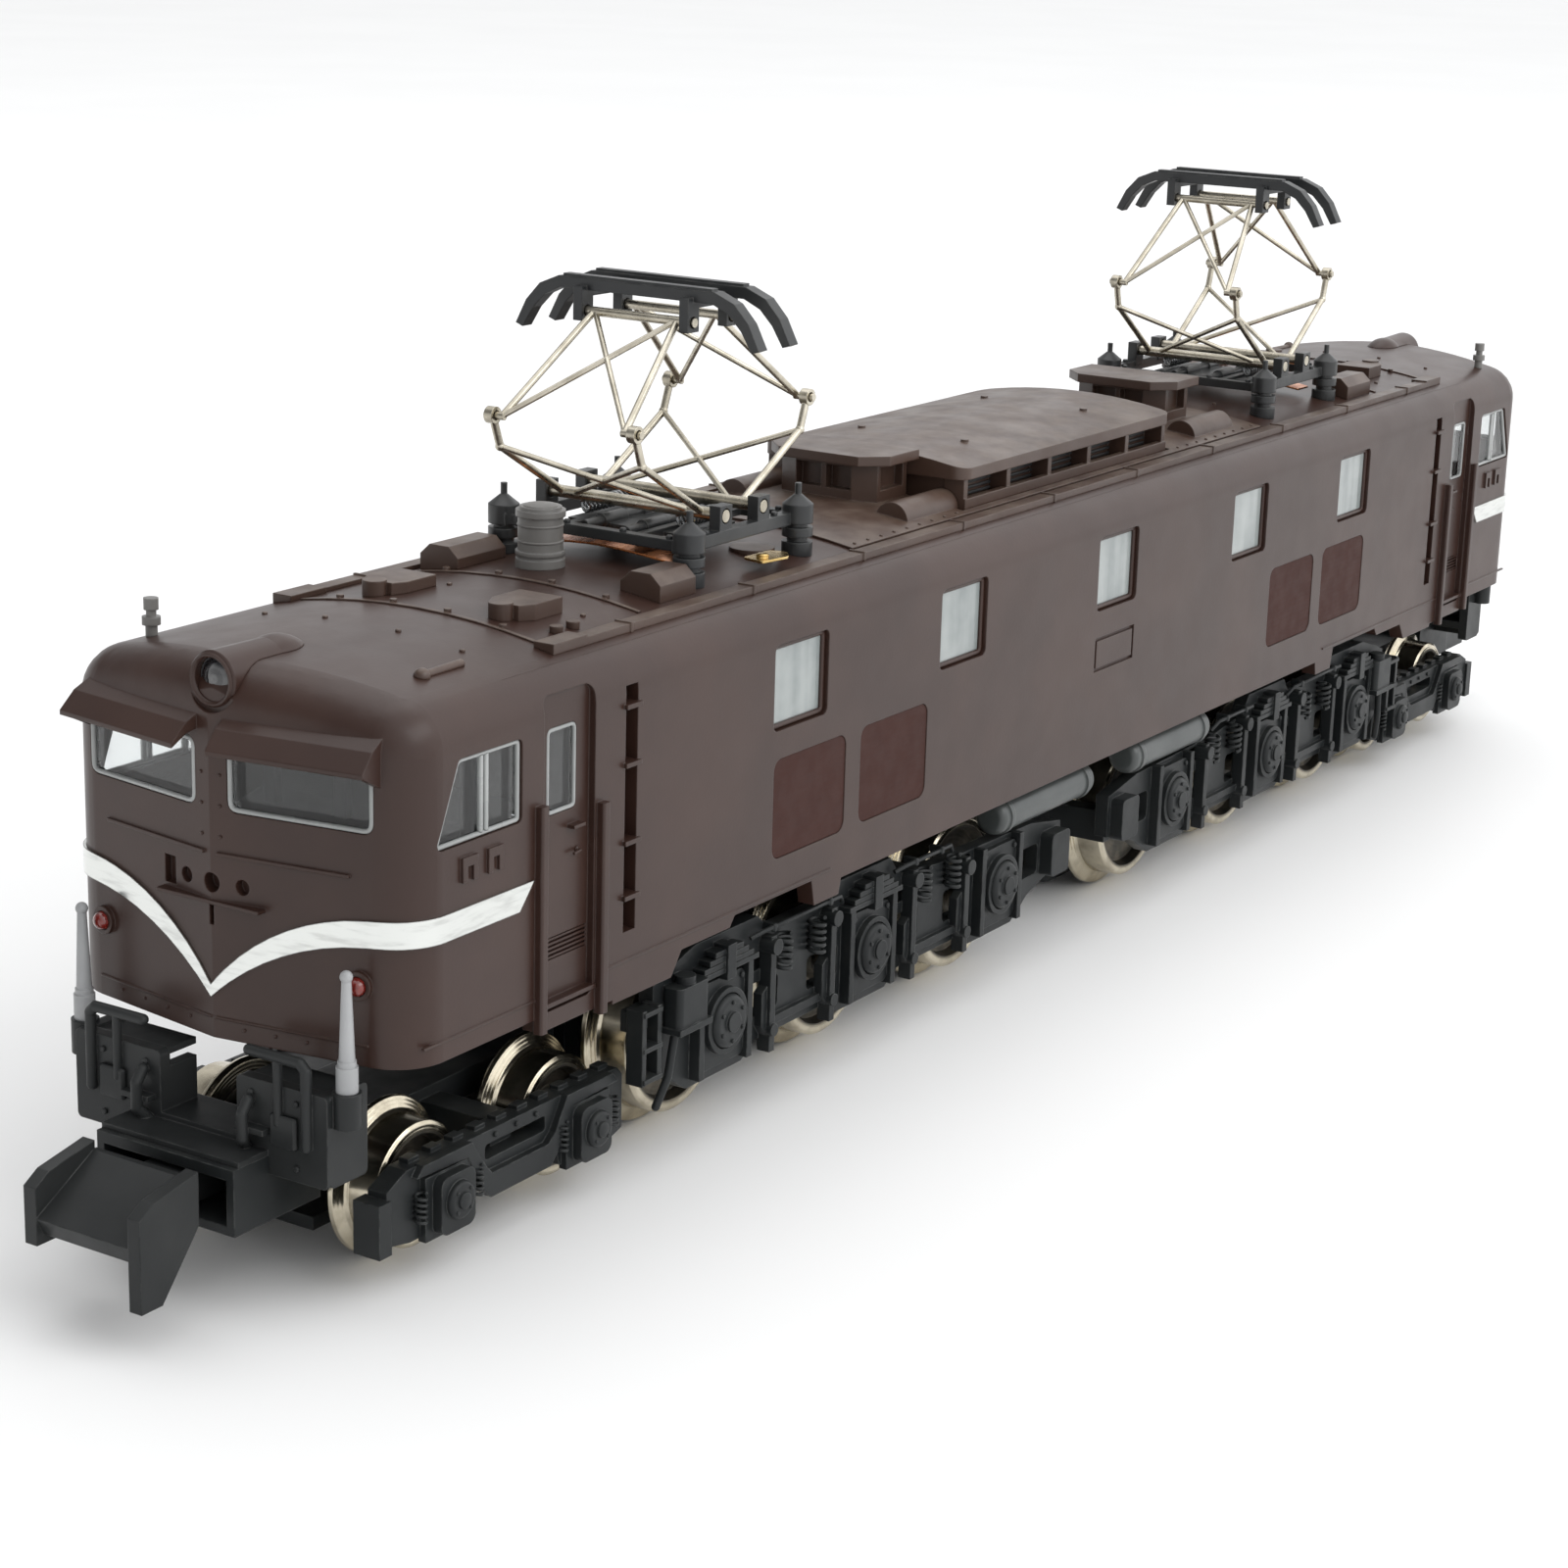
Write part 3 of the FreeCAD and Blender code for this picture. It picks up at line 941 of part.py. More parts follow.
def end_deck():
    """The footplate over the coupler: two front plates with side wings, handrails, steps and hoses."""
    z0, z1 = 5.8, 9.8
    floor_z = POCKET[5]
    parts = []
    for s in (-1, 1):
        def span(a, b):
            return (min(s * a, s * b), max(s * a, s * b))
        plate = rounded(box(-63.1, -62.5, *span(2.1, 6.9), z0, z1), 0.25, V(1, 0, 0))
        wing = rounded(box(-62.9, -60.6, *span(6.3, 6.9), z0, z1), 0.25, V(0, 1, 0))
        inner = box(-62.9, -60.9, *span(2.1, 2.6), z0, z1 - 0.8)
        socket = cyl_z(8.4, 9.9, -62.2, s * 7.2, 0.6)
        rail = wire_rods([(-63.2, s * 5.9, 7.5), (-63.2, s * 5.9, 10.75), (-63.2, s * 5.6, 11.05),
                          (-63.2, s * 2.9, 11.05)], 0.24)
        post = rod((-63.2, s * 4.4, 8.2), (-63.2, s * 4.4, 11.05), 0.2)
        step = box(-63.6, -62.6, *span(2.4, 3.9), 7.6, 7.85)
        hose = wire_rods([(-63.3, s * 2.9, 8.9), (-63.7, s * 2.9, 8.4), (-63.7, s * 2.9, 7.3),
                          (-63.3, s * 2.7, 6.8)], 0.25)
        tread = box(-62.9, -60.7, *span(2.3, 6.6), z1 - 0.4, z1 - 0.1)
        parts += [plate, wing, inner, socket, rail, post, step, hose, tread]
    parts.append(box(-63.1, -60.6, -6.7, 6.7, floor_z, floor_z + 0.5))
    parts.append(box(-64.9, -63.0, -3.75, 3.75, floor_z, floor_z + 0.25))
    return fuse(parts).cut(box(*POCKET))


def deck_posts():
    """The two tapered marker posts at the footplate's corners."""
    posts = []
    for s in (-1, 1):
        x, y = -62.2, s * 7.2
        posts.append(fuse([cyl_z(9.9, 11.0, x, y, 0.46), cyl_z(10.9, 11.25, x, y, 0.39),
                           Part.makeCone(0.34, 0.2, 3.5, V(x, y, 11.2)),
                           Part.makeSphere(0.27, V(x, y, 14.78))]))
    return Part.makeCompound(posts)


def coupler():
    """The standard hook coupler on its swinging shank."""
    shank = box(-66.9, COUPLER_X, -1.1, 1.1, 4.35, 5.85)
    eye = cyl_z(4.35, 5.85, COUPLER_X, 0, 1.1)
    wedge = plate_xz([(-66.7, 6.5), (-66.4, 6.5), (-66.4, 4.0), (-67.6, 3.6), (-69.6, 3.8), (-70.0, 4.6)],
                     -2.6, 2.6)
    cheek_a = plate_xz([(-70.0, 3.4), (-70.0, 5.9), (-69.2, 6.4), (-66.6, 6.9), (-66.6, 3.4)], 2.5, 3.15)
    cheek_b = plate_xz([(-70.0, 1.9), (-70.0, 5.9), (-69.2, 6.4), (-66.6, 6.9), (-66.6, 4.6), (-68.8, 1.9)],
                       -3.15, -2.5)
    body = fuse([shank, eye, wedge, cheek_a, cheek_b])
    return body.cut(cyl_z(3, 7, COUPLER_X, 0, 0.5 + RUN))


# ---------------------------------------------------------------- the assembly
def save(name, shape):
    bad = [s for s in shape.Solids if not s.isValid()]
    volume = sum(s.Volume for s in shape.Solids)
    state = "BAD" if bad or not shape.Solids else "ok"
    print(f"{name:22s} solids {len(shape.Solids):3d}  volume {volume:9.2f}  {state}")
    shape.exportStep(f"parts/{name}.step")


def save_ends(name, shape):
    """Writes end a's piece and the same piece turned to end b."""
    save(name + "_a", shape)
    save(name + "_b", turned(shape))


def main():
    os.makedirs("parts", exist_ok=True)
    shell = body_shell()
    save("body_shell", shell)
    save("roof_hatch", roof_hatch(shell))
    save("roof_fittings", roof_fittings(shell))
    save("air_filters", air_filters())
    save("side_glazing", side_glazing())
    save_ends("cab_glass", cab_glass())
    save("headlights", pair_on(shell, headlight()))
    save("headlight_lenses", pair_on(shell, headlight_lens()))
    save("tail_lenses", tail_lenses())
    band = trim_band()
    save("trim_bands", Part.makeCompound([band, turned(band)]))
    save("whistles", pair_on(shell, whistle()))
    save("lightning_arrester", seated(lightning_arrester(), shell))
    save_ends("pan_base", pan_base(shell))
    for end, angle, place in (("a", PAN_ANGLES[0], Part.Shape.copy), ("b", PAN_ANGLES[1], turned)):
        for tag, side in (("outer", -1), ("inner", 1)):
            save(f"pan_lower_{tag}_{end}", place(lower_frame(side, angle)))
            save(f"pan_upper_{tag}_{end}", place(upper_frame(side, angle)))
        save(f"pan_head_{end}", place(pan_head(angle)))
    half = chassis_half()
    save("chassis_left", half)
    save("chassis_right", half.mirror(V(0, 0, 0), V(0, 1, 0)))
    save("motor_case", motor_case())
    save("light_board", light_board())
    save("air_tanks", air_tanks())
    save("motor_shaft", motor_shaft())
    save("worms", Part.makeCompound([worm(), turned(worm())]))
    save_ends("bogie_frame", bogie_frame())
    save_ends("bogie_keeper", bogie_keeper())
    for n, (x, phase) in enumerate(zip(AXLES, AXLE_PHASES), 1):
        save_ends(f"driver{n}", wheelset(x, DRIVER_R, DRIVER_TREAD_R, 6.9, AXLE_R, phase))
    for n, (x, phase) in enumerate(zip(IDLERS, IDLER_PHASES), 1):
        save_ends(f"idler_gear{n}", gear(IDLER_TEETH, x, AXLE_Z, phase, bore=0.5 + RUN))
    save_ends("tower_gear", gear(TOWER_TEETH, BOGIE_X, TOWER_Z, 0.0, half=0.5, bore=0.5 + RUN))
    save_ends("truck_frame", truck_frame())
    save_ends("end_deck", end_deck())
    save_ends("deck_posts", deck_posts())
    save_ends("coupler", coupler())
    for n, x in enumerate(LEADER_X, 1):
        save_ends(f"leader{n}", wheelset(x, LEADER_R, LEADER_TREAD_R, 6.85, 0.4))


main()
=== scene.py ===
"""Looks of the N gauge electric locomotive: materials, small fittings, light, floor and camera.

Lengths are millimetres and are scaled to metres when a mesh or a shader uses them, except in the
light, floor and camera section, which is in metres.
"""
import math

import bpy
from mathutils import Matrix, Vector


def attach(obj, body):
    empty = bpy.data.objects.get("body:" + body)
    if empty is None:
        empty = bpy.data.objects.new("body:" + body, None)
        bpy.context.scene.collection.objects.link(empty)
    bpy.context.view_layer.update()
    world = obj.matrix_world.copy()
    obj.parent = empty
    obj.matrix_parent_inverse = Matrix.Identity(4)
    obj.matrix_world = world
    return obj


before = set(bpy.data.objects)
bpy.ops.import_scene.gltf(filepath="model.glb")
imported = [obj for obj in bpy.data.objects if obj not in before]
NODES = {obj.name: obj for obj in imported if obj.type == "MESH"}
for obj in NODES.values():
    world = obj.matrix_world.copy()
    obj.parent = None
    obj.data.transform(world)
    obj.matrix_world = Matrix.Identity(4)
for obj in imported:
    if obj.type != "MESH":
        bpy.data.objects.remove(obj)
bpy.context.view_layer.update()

MM = 0.001
ENDS = ("a", "b")

HALF_W = 9.33                 # body side to centre line
RIDGE_X, SWEEP = 62.1, 1.4    # front ridge, and how far a front panel falls back to the side
WINDOW_X = (-32.1, -16.9, 0.0, 16.9, 32.1)
WINDOW_W, WINDOW_Z = 4.65, (19.35, 23.45)
CAB_WINDOW = ((-59.2, 19.55), (-57.7, 23.15), (-53.5, 23.15), (-53.5, 19.55))
FRONT_WINDOW = (0.85, 7.7, 20.4, 23.3)
DOOR_WINDOW = (-51.4, -49.3, 19.2, 23.0)
PAN_X, PAN_BASE_Z = -31.1, 27.75
DRIVER_X = (-36.8, -23.6, -10.4)
LEADER_X = (-56.1, -46.2)
HEAD_X, HEAD_Z = -61.8, 25.75
BOGIE_Y, AXLE_COVER_Z = 8.05, 5.9      # outer face of a driving bogie's side frame, and its axle covers
TRUCK_Y, JOURNAL_Z = 7.3, 3.4          # the same for a leading truck
ARRESTER = (-38.3, 1.2, 0.0)
LOUVRE_PITCH = 0.32                    # of the air filters
REFLECTOR_PITCH = 0.42                 # rings behind the headlight glass
ROOF_CROWN_Z, ROOF_RISE = 26.4, 1.2    # crown of the roof's arch, and its rise over the edge
GAP = 0.02                             # clearance of a window bead in its opening


# ---------------------------------------------------------------- node materials
class Shader:
    """A Principled material with small helpers for wiring procedural detail."""

    def __init__(self, name, roughness=0.4, metallic=0.0, ior=1.5, **sockets):
        self.mat = bpy.data.materials.new(name)
        self.mat.use_nodes = True
        self.tree = self.mat.node_tree
        self.bsdf = self.tree.nodes["Principled BSDF"]
        self.set("Roughness", roughness)
        self.set("Metallic", metallic)
        self.set("IOR", ior)
        for key, value in sockets.items():
            self.set(key.replace("_", " "), value)
        self.coords = self.node("ShaderNodeTexCoord").outputs

    def node(self, kind, **props):
        made = self.tree.nodes.new(kind)
        for key, value in props.items():
            setattr(made, key, value)
        return made

    def set(self, socket, value):
        self.bsdf.inputs[socket].default_value = value

    def link(self, a, b):
        self.tree.links.new(a, b)

    def noise(self, size_mm, detail=3.0, rough=0.55, stretch=(1, 1, 1)):
        """Noise with features of about the given size, in object space."""
        mapping = self.node("ShaderNodeMapping")
        mapping.inputs["Scale"].default_value = stretch
        self.link(self.coords["Object"], mapping.inputs["Vector"])
        noise = self.node("ShaderNodeTexNoise")
        noise.inputs["Scale"].default_value = 1.0 / (size_mm * MM)
        noise.inputs["Detail"].default_value = detail
        noise.inputs["Roughness"].default_value = rough
        self.link(mapping.outputs[0], noise.inputs["Vector"])
        return noise.outputs["Fac"]

    def ramp(self, fac, low, high, value_low=0.0, value_high=1.0):
        rng = self.node("ShaderNodeMapRange", interpolation_type="SMOOTHSTEP")
        for socket, value in (("From Min", low), ("From Max", high),
                              ("To Min", value_low), ("To Max", value_high)):
            rng.inputs[socket].default_value = value
        self.link(fac, rng.inputs["Value"])
        return rng.outputs["Result"]

    def mix(self, fac, a, b):
        """Mix of two colours; each is a tuple or a socket."""
        made = self.node("ShaderNodeMix", data_type="RGBA")
        for socket, value in ((made.inputs[6], a), (made.inputs[7], b)):
            if isinstance(value, tuple):
                socket.default_value = (*value, 1.0)
            else:
                self.link(value, socket)
        if isinstance(fac, float):
            made.inputs[0].default_value = fac
        else:
            self.link(fac, made.inputs[0])
        return made.outputs[2]

    def maths(self, operation, a, b=0.0):
        made = self.node("ShaderNodeMath", operation=operation)
        for socket, value in zip(made.inputs, (a, b)):
            if isinstance(value, (int, float)):
                socket.default_value = value
            else:
                self.link(value, socket)
        return made.outputs[0]

    def axis(self, space, index):
        """One coordinate of object or generated space."""
        split = self.node("ShaderNodeSeparateXYZ")
        self.link(self.coords[space], split.inputs[0])
        return split.outputs[index]

    def edges(self, radius_mm, low=0.02, high=0.35):
        """One where the surface turns sharply: the difference between its normal and a bevelled one."""
        bevel = self.node("ShaderNodeBevel", samples=6)
        bevel.inputs["Radius"].default_value = radius_mm * MM
        geometry = self.node("ShaderNodeNewGeometry")
        dot = self.node("ShaderNodeVectorMath", operation="DOT_PRODUCT")
        self.link(bevel.outputs[0], dot.inputs[0])
        self.link(geometry.outputs["Normal"], dot.inputs[1])
        return self.ramp(self.maths("SUBTRACT", 1.0, dot.outputs["Value"]), low, high)

    def bumps(self, *layers, soften_mm=0.0):
        """Chained bump layers of (height socket, distance in mm, strength), over softened edges."""
        normal = None
        if soften_mm:
            bevel = self.node("ShaderNodeBevel", samples=6)
            bevel.inputs["Radius"].default_value = soften_mm * MM
            normal = bevel.outputs[0]
        for height, distance, strength in layers:
            bump = self.node("ShaderNodeBump")
            bump.inputs["Distance"].default_value = distance * MM
            bump.inputs["Strength"].default_value = strength
            self.link(height, bump.inputs["Height"])
            if normal is not None:
                self.link(normal, bump.inputs["Normal"])
            normal = bump.outputs[0]
        self.link(normal, self.bsdf.inputs["Normal"])

    def colour(self, socket):
        self.link(socket, self.bsdf.inputs["Base Color"])

    def rough(self, fac, low, high):
        self.link(self.ramp(fac, 0.3, 0.7, low, high), self.bsdf.inputs["Roughness"])


def moulded(name, dark, light, edge_wear_and_highlight, rough=(0.3, 0.42), edge_wear_and_highlight_amount=0.35, grain_mm=0.16, grain=0.25, dust_and_sheen=None,
            **sockets):
    """Injection moulded plastic: cloudy colour, a fine grain, softened edges made lighter, partly by rubbing
    and partly as a painted highlight, and, when given, a lighter colour on upward faces that is partly a
    dusting and partly a painted sheen.
    """
    s = Shader(name, **sockets)
    cloud = s.ramp(s.noise(9.0, 4.0), 0.35, 0.68)
    base = s.mix(cloud, dark, light)
    # upward faces mixed towards a lighter colour: partly a dusting, partly a painted sheen of the top light
    if dust_and_sheen:
        up = s.node("ShaderNodeNewGeometry")
        split = s.node("ShaderNodeSeparateXYZ")
        s.link(up.outputs["Normal"], split.inputs[0])
        facing_up = s.ramp(split.outputs[2], 0.3, 1.0, 0.0, 0.55)
        amount = s.maths("MULTIPLY", facing_up, s.ramp(s.noise(1.6, 5.0), 0.3, 0.75))
        base = s.mix(amount, base, dust_and_sheen)
    # lighter colour on sharp edges: partly rubbed edges, partly a painted highlight
    patchy = s.ramp(s.noise(0.7, 4.0), 0.38, 0.62)
    base = s.mix(s.maths("MULTIPLY", s.maths("MULTIPLY", s.edges(0.11), patchy), edge_wear_and_highlight_amount), base, edge_wear_and_highlight)
    s.colour(base)
    s.rough(s.noise(2.4, 5.0), *rough)
    s.bumps((s.noise(grain_mm, 2.0), 0.012, grain), (s.noise(3.5, 2.0), 0.03, 0.12), soften_mm=0.09)
    return s.mat


def metal(name, dark, light, rough=(0.18, 0.32), brush=(1, 1, 1), grain_mm=0.3, bump=0.2):
    """Bare or plated metal with drawn or brushed streaks and a slight tarnish."""
    s = Shader(name, metallic=1.0)
    streak = s.noise(grain_mm, 3.0, stretch=brush)
    s.colour(s.mix(s.ramp(s.noise(1.8, 4.0), 0.35, 0.7), dark, light))
    s.rough(streak, *rough)
    s.bumps((streak, 0.01, bump), soften_mm=0.05)
    return s.mat


def chrome(name):
    """Mirror foil: bright faces with a painted dark reflection along the edges, and fine scuffs."""
    s = Shader(name, metallic=1.0)
    scuff = s.noise(0.5, 4.0, stretch=(0.3, 0.3, 2.0))
    face = s.mix(s.ramp(scuff, 0.45, 0.75), (0.76, 0.775, 0.75), (0.6, 0.61, 0.59))
    # darker colour on the edges: a painted dark reflection
    s.colour(s.mix(s.edges(0.1, 0.01, 0.2), face, (0.2, 0.195, 0.185)))
    s.rough(scuff, 0.07, 0.16)
    s.bumps((scuff, 0.008, 0.12), soften_mm=0.06)
    return s.mat


def wheel_metal(name, disc_share):
    """A nickel-plated wheelset: bright turned tyre, darker disc with turning rings, and some tarnish."""
    s = Shader(name, metallic=1.0)
    dx = s.maths("SUBTRACT", s.axis("Generated", 0), 0.5)
    dz = s.maths("SUBTRACT", s.axis("Generated", 2), 0.5)
    radius = s.maths("SQRT", s.maths("ADD", s.maths("MULTIPLY", dx, dx), s.maths("MULTIPLY", dz, dz)))
    tyre = s.ramp(radius, disc_share, disc_share + 0.02)
    rings = s.maths("SINE", s.maths("MULTIPLY", radius, 260.0))
    tarnish = s.ramp(s.noise(1.1, 5.0), 0.35, 0.72)
    bright = s.mix(tarnish, (0.66, 0.6, 0.47), (0.42, 0.37, 0.28))
    s.colour(s.mix(tyre, s.mix(tarnish, (0.07, 0.066, 0.056), (0.16, 0.14, 0.11)), bright))
    s.link(s.ramp(tyre, 0.0, 1.0, 0.5, 0.2), s.bsdf.inputs["Roughness"])
    s.bumps((rings, 0.008, 0.35), (s.noise(0.25, 2.0), 0.006, 0.2), soften_mm=0.06)
    return s.mat


def clear(name, tint, rough=0.03):
    """Clear moulded glazing with faint flow marks."""
    s = Shader(name, roughness=rough, ior=1.46, Transmission_Weight=1.0)
    s.colour(s.mix(s.ramp(s.noise(5.0, 2.0), 0.3, 0.8), tint, tuple(0.93 * c for c in tint)))
    s.bumps((s.noise(2.2, 1.5), 0.02, 0.12))
    return s.mat


def frosted(name):
    """Side windows: pale bluish panes with soft vertical folds of a blind behind them."""
    s = Shader(name, roughness=0.22, ior=1.46, Coat_Weight=0.5, Coat_Roughness=0.06)
    fold = s.noise(1.1, 2.0, stretch=(1, 1, 0.08))
    cloud = s.ramp(s.noise(3.0, 3.0), 0.3, 0.75)
    base = s.mix(s.ramp(fold, 0.3, 0.7), (0.17, 0.195, 0.195), (0.27, 0.295, 0.29))
    s.colour(s.mix(s.maths("MULTIPLY", cloud, 0.5), base, (0.38, 0.405, 0.395)))
    s.bumps((fold, 0.03, 0.3))
    return s.mat


def louvred(name, dark, light):
    """Air filter: a matt panel with fine level louvres."""
    s = Shader(name, roughness=0.6, Specular_IOR_Level=0.2)
    wave = s.maths("SINE", s.maths("MULTIPLY", s.axis("Object", 2), 2 * math.pi / (LOUVRE_PITCH * MM)))
    s.colour(s.mix(s.ramp(s.noise(1.4, 4.0), 0.3, 0.7), dark, light))
    s.rough(s.noise(0.9, 4.0), 0.62, 0.74)
    s.bumps((wave, 0.03, 0.16), (s.noise(0.14, 2.0), 0.01, 0.3), soften_mm=0.06)
    return s.mat


def lamp_glass():
    """Headlight glass: nearly black with a faint concentric reflector behind it."""
    s = Shader("lamp_lens", roughness=0.08, ior=1.5, Coat_Weight=1.0, Coat_Roughness=0.03)
    dy = s.axis("Object", 1)
    dz = s.maths("SUBTRACT", s.axis("Object", 2), HEAD_Z * MM)
    radius = s.maths("SQRT", s.maths("ADD", s.maths("MULTIPLY", dy, dy), s.maths("MULTIPLY", dz, dz)))
    wave = s.maths("SINE", s.maths("MULTIPLY", radius, 2 * math.pi / (REFLECTOR_PITCH * MM)))
    ring = s.ramp(wave, -0.4, 0.9)
    s.colour(s.mix(ring, (0.012, 0.012, 0.014), (0.06, 0.06, 0.062)))
    s.bumps((radius, 0.1, 0.3))
    return s.mat


def red_lens():
    """Tail lamp: dark red, slightly see-through moulding."""
    s = Shader("red_lens", roughness=0.12, ior=1.49, Coat_Weight=0.8, Coat_Roughness=0.05,
               Transmission_Weight=0.25)
    s.colour(s.mix(s.ramp(s.noise(0.3, 3.0), 0.3, 0.7), (0.16, 0.012, 0.008), (0.26, 0.022, 0.014)))
    s.bumps((s.noise(0.3, 2.0), 0.02, 0.2))
    return s.mat


BROWN_DARK, BROWN, BROWN_EDGE_WEAR_AND_HIGHLIGHT = (0.033, 0.0158, 0.0118), (0.044, 0.0218, 0.016), (0.14, 0.09, 0.07)
MATS = {
    "body": moulded("body_brown", BROWN_DARK, BROWN, BROWN_EDGE_WEAR_AND_HIGHLIGHT, rough=(0.34, 0.39), edge_wear_and_highlight_amount=0.25,
                    Coat_Weight=0.06, Coat_Roughness=0.25, Specular_IOR_Level=0.36),
    # roof: the lighter tan on its upward faces is a painted sheen as well as a dusting
    "roof": moulded("roof_brown", (0.047, 0.0255, 0.018), (0.064, 0.036, 0.0255), (0.17, 0.12, 0.09),
                    rough=(0.34, 0.46), edge_wear_and_highlight_amount=0.5, dust_and_sheen=(0.155, 0.117, 0.09)),
    "filter": louvred("filter_brown", (0.041, 0.015, 0.0115), (0.045, 0.0165, 0.0125)),
    "side_pane": frosted("frosted_pane"),
    "glass": clear("clear_glazing", (0.93, 0.95, 0.95)),
    "frame_white": moulded("window_frame", (0.27, 0.28, 0.275), (0.38, 0.39, 0.385), (0.52, 0.53, 0.52),
                           rough=(0.25, 0.4)),
    "lamp": lamp_glass(),
    "red": red_lens(),
    "trim": chrome("bright_trim"),
    "grey": moulded("grey_fittings", (0.14, 0.135, 0.127), (0.21, 0.203, 0.192), (0.5, 0.5, 0.5),
                    rough=(0.3, 0.45)),
    "post": moulded("post_grey", (0.27, 0.275, 0.28), (0.38, 0.385, 0.39), (0.55, 0.55, 0.55),
                    rough=(0.3, 0.45)),
    "pan_black": moulded("pan_black", (0.014, 0.0155, 0.017), (0.028, 0.029, 0.029), (0.13, 0.13, 0.12),
                         rough=(0.3, 0.46), edge_wear_and_highlight_amount=0.6),
    "nickel": metal("nickel_silver", (0.42, 0.385, 0.31), (0.62, 0.575, 0.48), rough=(0.24, 0.4),
                    grain_mm=0.25),
    "cast": moulded("die_cast", (0.03, 0.03, 0.031), (0.055, 0.055, 0.056), (0.25, 0.25, 0.25),
                    rough=(0.4, 0.6), edge_wear_and_highlight_amount=0.5, grain_mm=0.3, grain=0.5, metallic=0.7),
    "steel": metal("motor_steel", (0.4, 0.41, 0.42), (0.56, 0.57, 0.58), brush=(0.2, 1, 1)),
    "brass": metal("turned_brass", (0.6, 0.42, 0.16), (0.78, 0.58, 0.27), grain_mm=0.2),
    "copper": metal("copper_strip", (0.5, 0.17, 0.06), (0.72, 0.3, 0.12), rough=(0.2, 0.34),
                    brush=(0.15, 1, 1)),
    "worm": moulded("worm_black", (0.012, 0.012, 0.012), (0.025, 0.025, 0.025), (0.1, 0.1, 0.1),
                    rough=(0.2, 0.3)),
    "gear": moulded("gear_white", (0.62, 0.6, 0.53), (0.74, 0.72, 0.66), (0.8, 0.79, 0.75),
                    rough=(0.3, 0.4)),
    "board": moulded("board_green", (0.018, 0.07, 0.03), (0.03, 0.11, 0.05), (0.3, 0.25, 0.12),
                     rough=(0.25, 0.4)),
    "under": moulded("under_grey", (0.009, 0.0105, 0.0112), (0.0175, 0.0195, 0.02), (0.12, 0.125, 0.12),
                     rough=(0.34, 0.5), edge_wear_and_highlight_amount=0.75, dust_and_sheen=(0.04, 0.042, 0.039), Specular_IOR_Level=0.24),
    "deck": moulded("deck_grey", (0.015, 0.0165, 0.017), (0.025, 0.0265, 0.0265), (0.12, 0.12, 0.115),
                    rough=(0.34, 0.5), edge_wear_and_highlight_amount=0.55, Specular_IOR_Level=0.26),
    "tank": moulded("tank_grey", (0.05, 0.056, 0.055), (0.08, 0.086, 0.084), (0.25, 0.25, 0.24),
                    rough=(0.3, 0.42)),
    "driver": wheel_metal("wheel_nickel_driver", 0.36),
    "leader": wheel_metal("wheel_nickel_leader", 0.33),
    "spring": metal("spring_steel", (0.22, 0.225, 0.23), (0.4, 0.41, 0.42), grain_mm=0.15),
    "dark": moulded("cab_interior", (0.02, 0.021, 0.022), (0.04, 0.041, 0.042), (0.1, 0.1, 0.1),
                    rough=(0.5, 0.7)),
    "interior_grey": moulded("cab_panel", (0.055, 0.058, 0.058), (0.1, 0.104, 0.104), (0.3, 0.3, 0.3),
                             rough=(0.4, 0.55)),
}


NODE_MATERIAL = {
    "body_shell": "body", "roof_hatch": "roof", "roof_fittings": "roof", "air_filters": "filter",
    "side_glazing": "side_pane", "cab_glass": "glass", "headlights": "body", "headlight_lenses": "lamp",
    "tail_lenses": "red", "trim_bands": "trim", "whistles": "grey", "lightning_arrester": "grey",
    "pan_base": "pan_black", "pan_lower": "nickel", "pan_upper": "nickel", "pan_head": "pan_black",
    "chassis": "cast", "motor_case": "steel", "light_board": "board", "air_tanks": "tank",
    "motor_shaft": "brass", "worms": "worm", "bogie": "under", "driver": "driver", "idler_gear": "gear",
    "tower_gear": "gear",
    "truck_frame": "under", "end_deck": "deck", "deck_posts": "post", "coupler": "deck", "leader": "leader",
}
for name, node in NODES.items():
    prefix = max((p for p in NODE_MATERIAL if name.startswith(p)), key=len)
    node.data.materials.clear()
    node.data.materials.append(MATS[NODE_MATERIAL[prefix]])


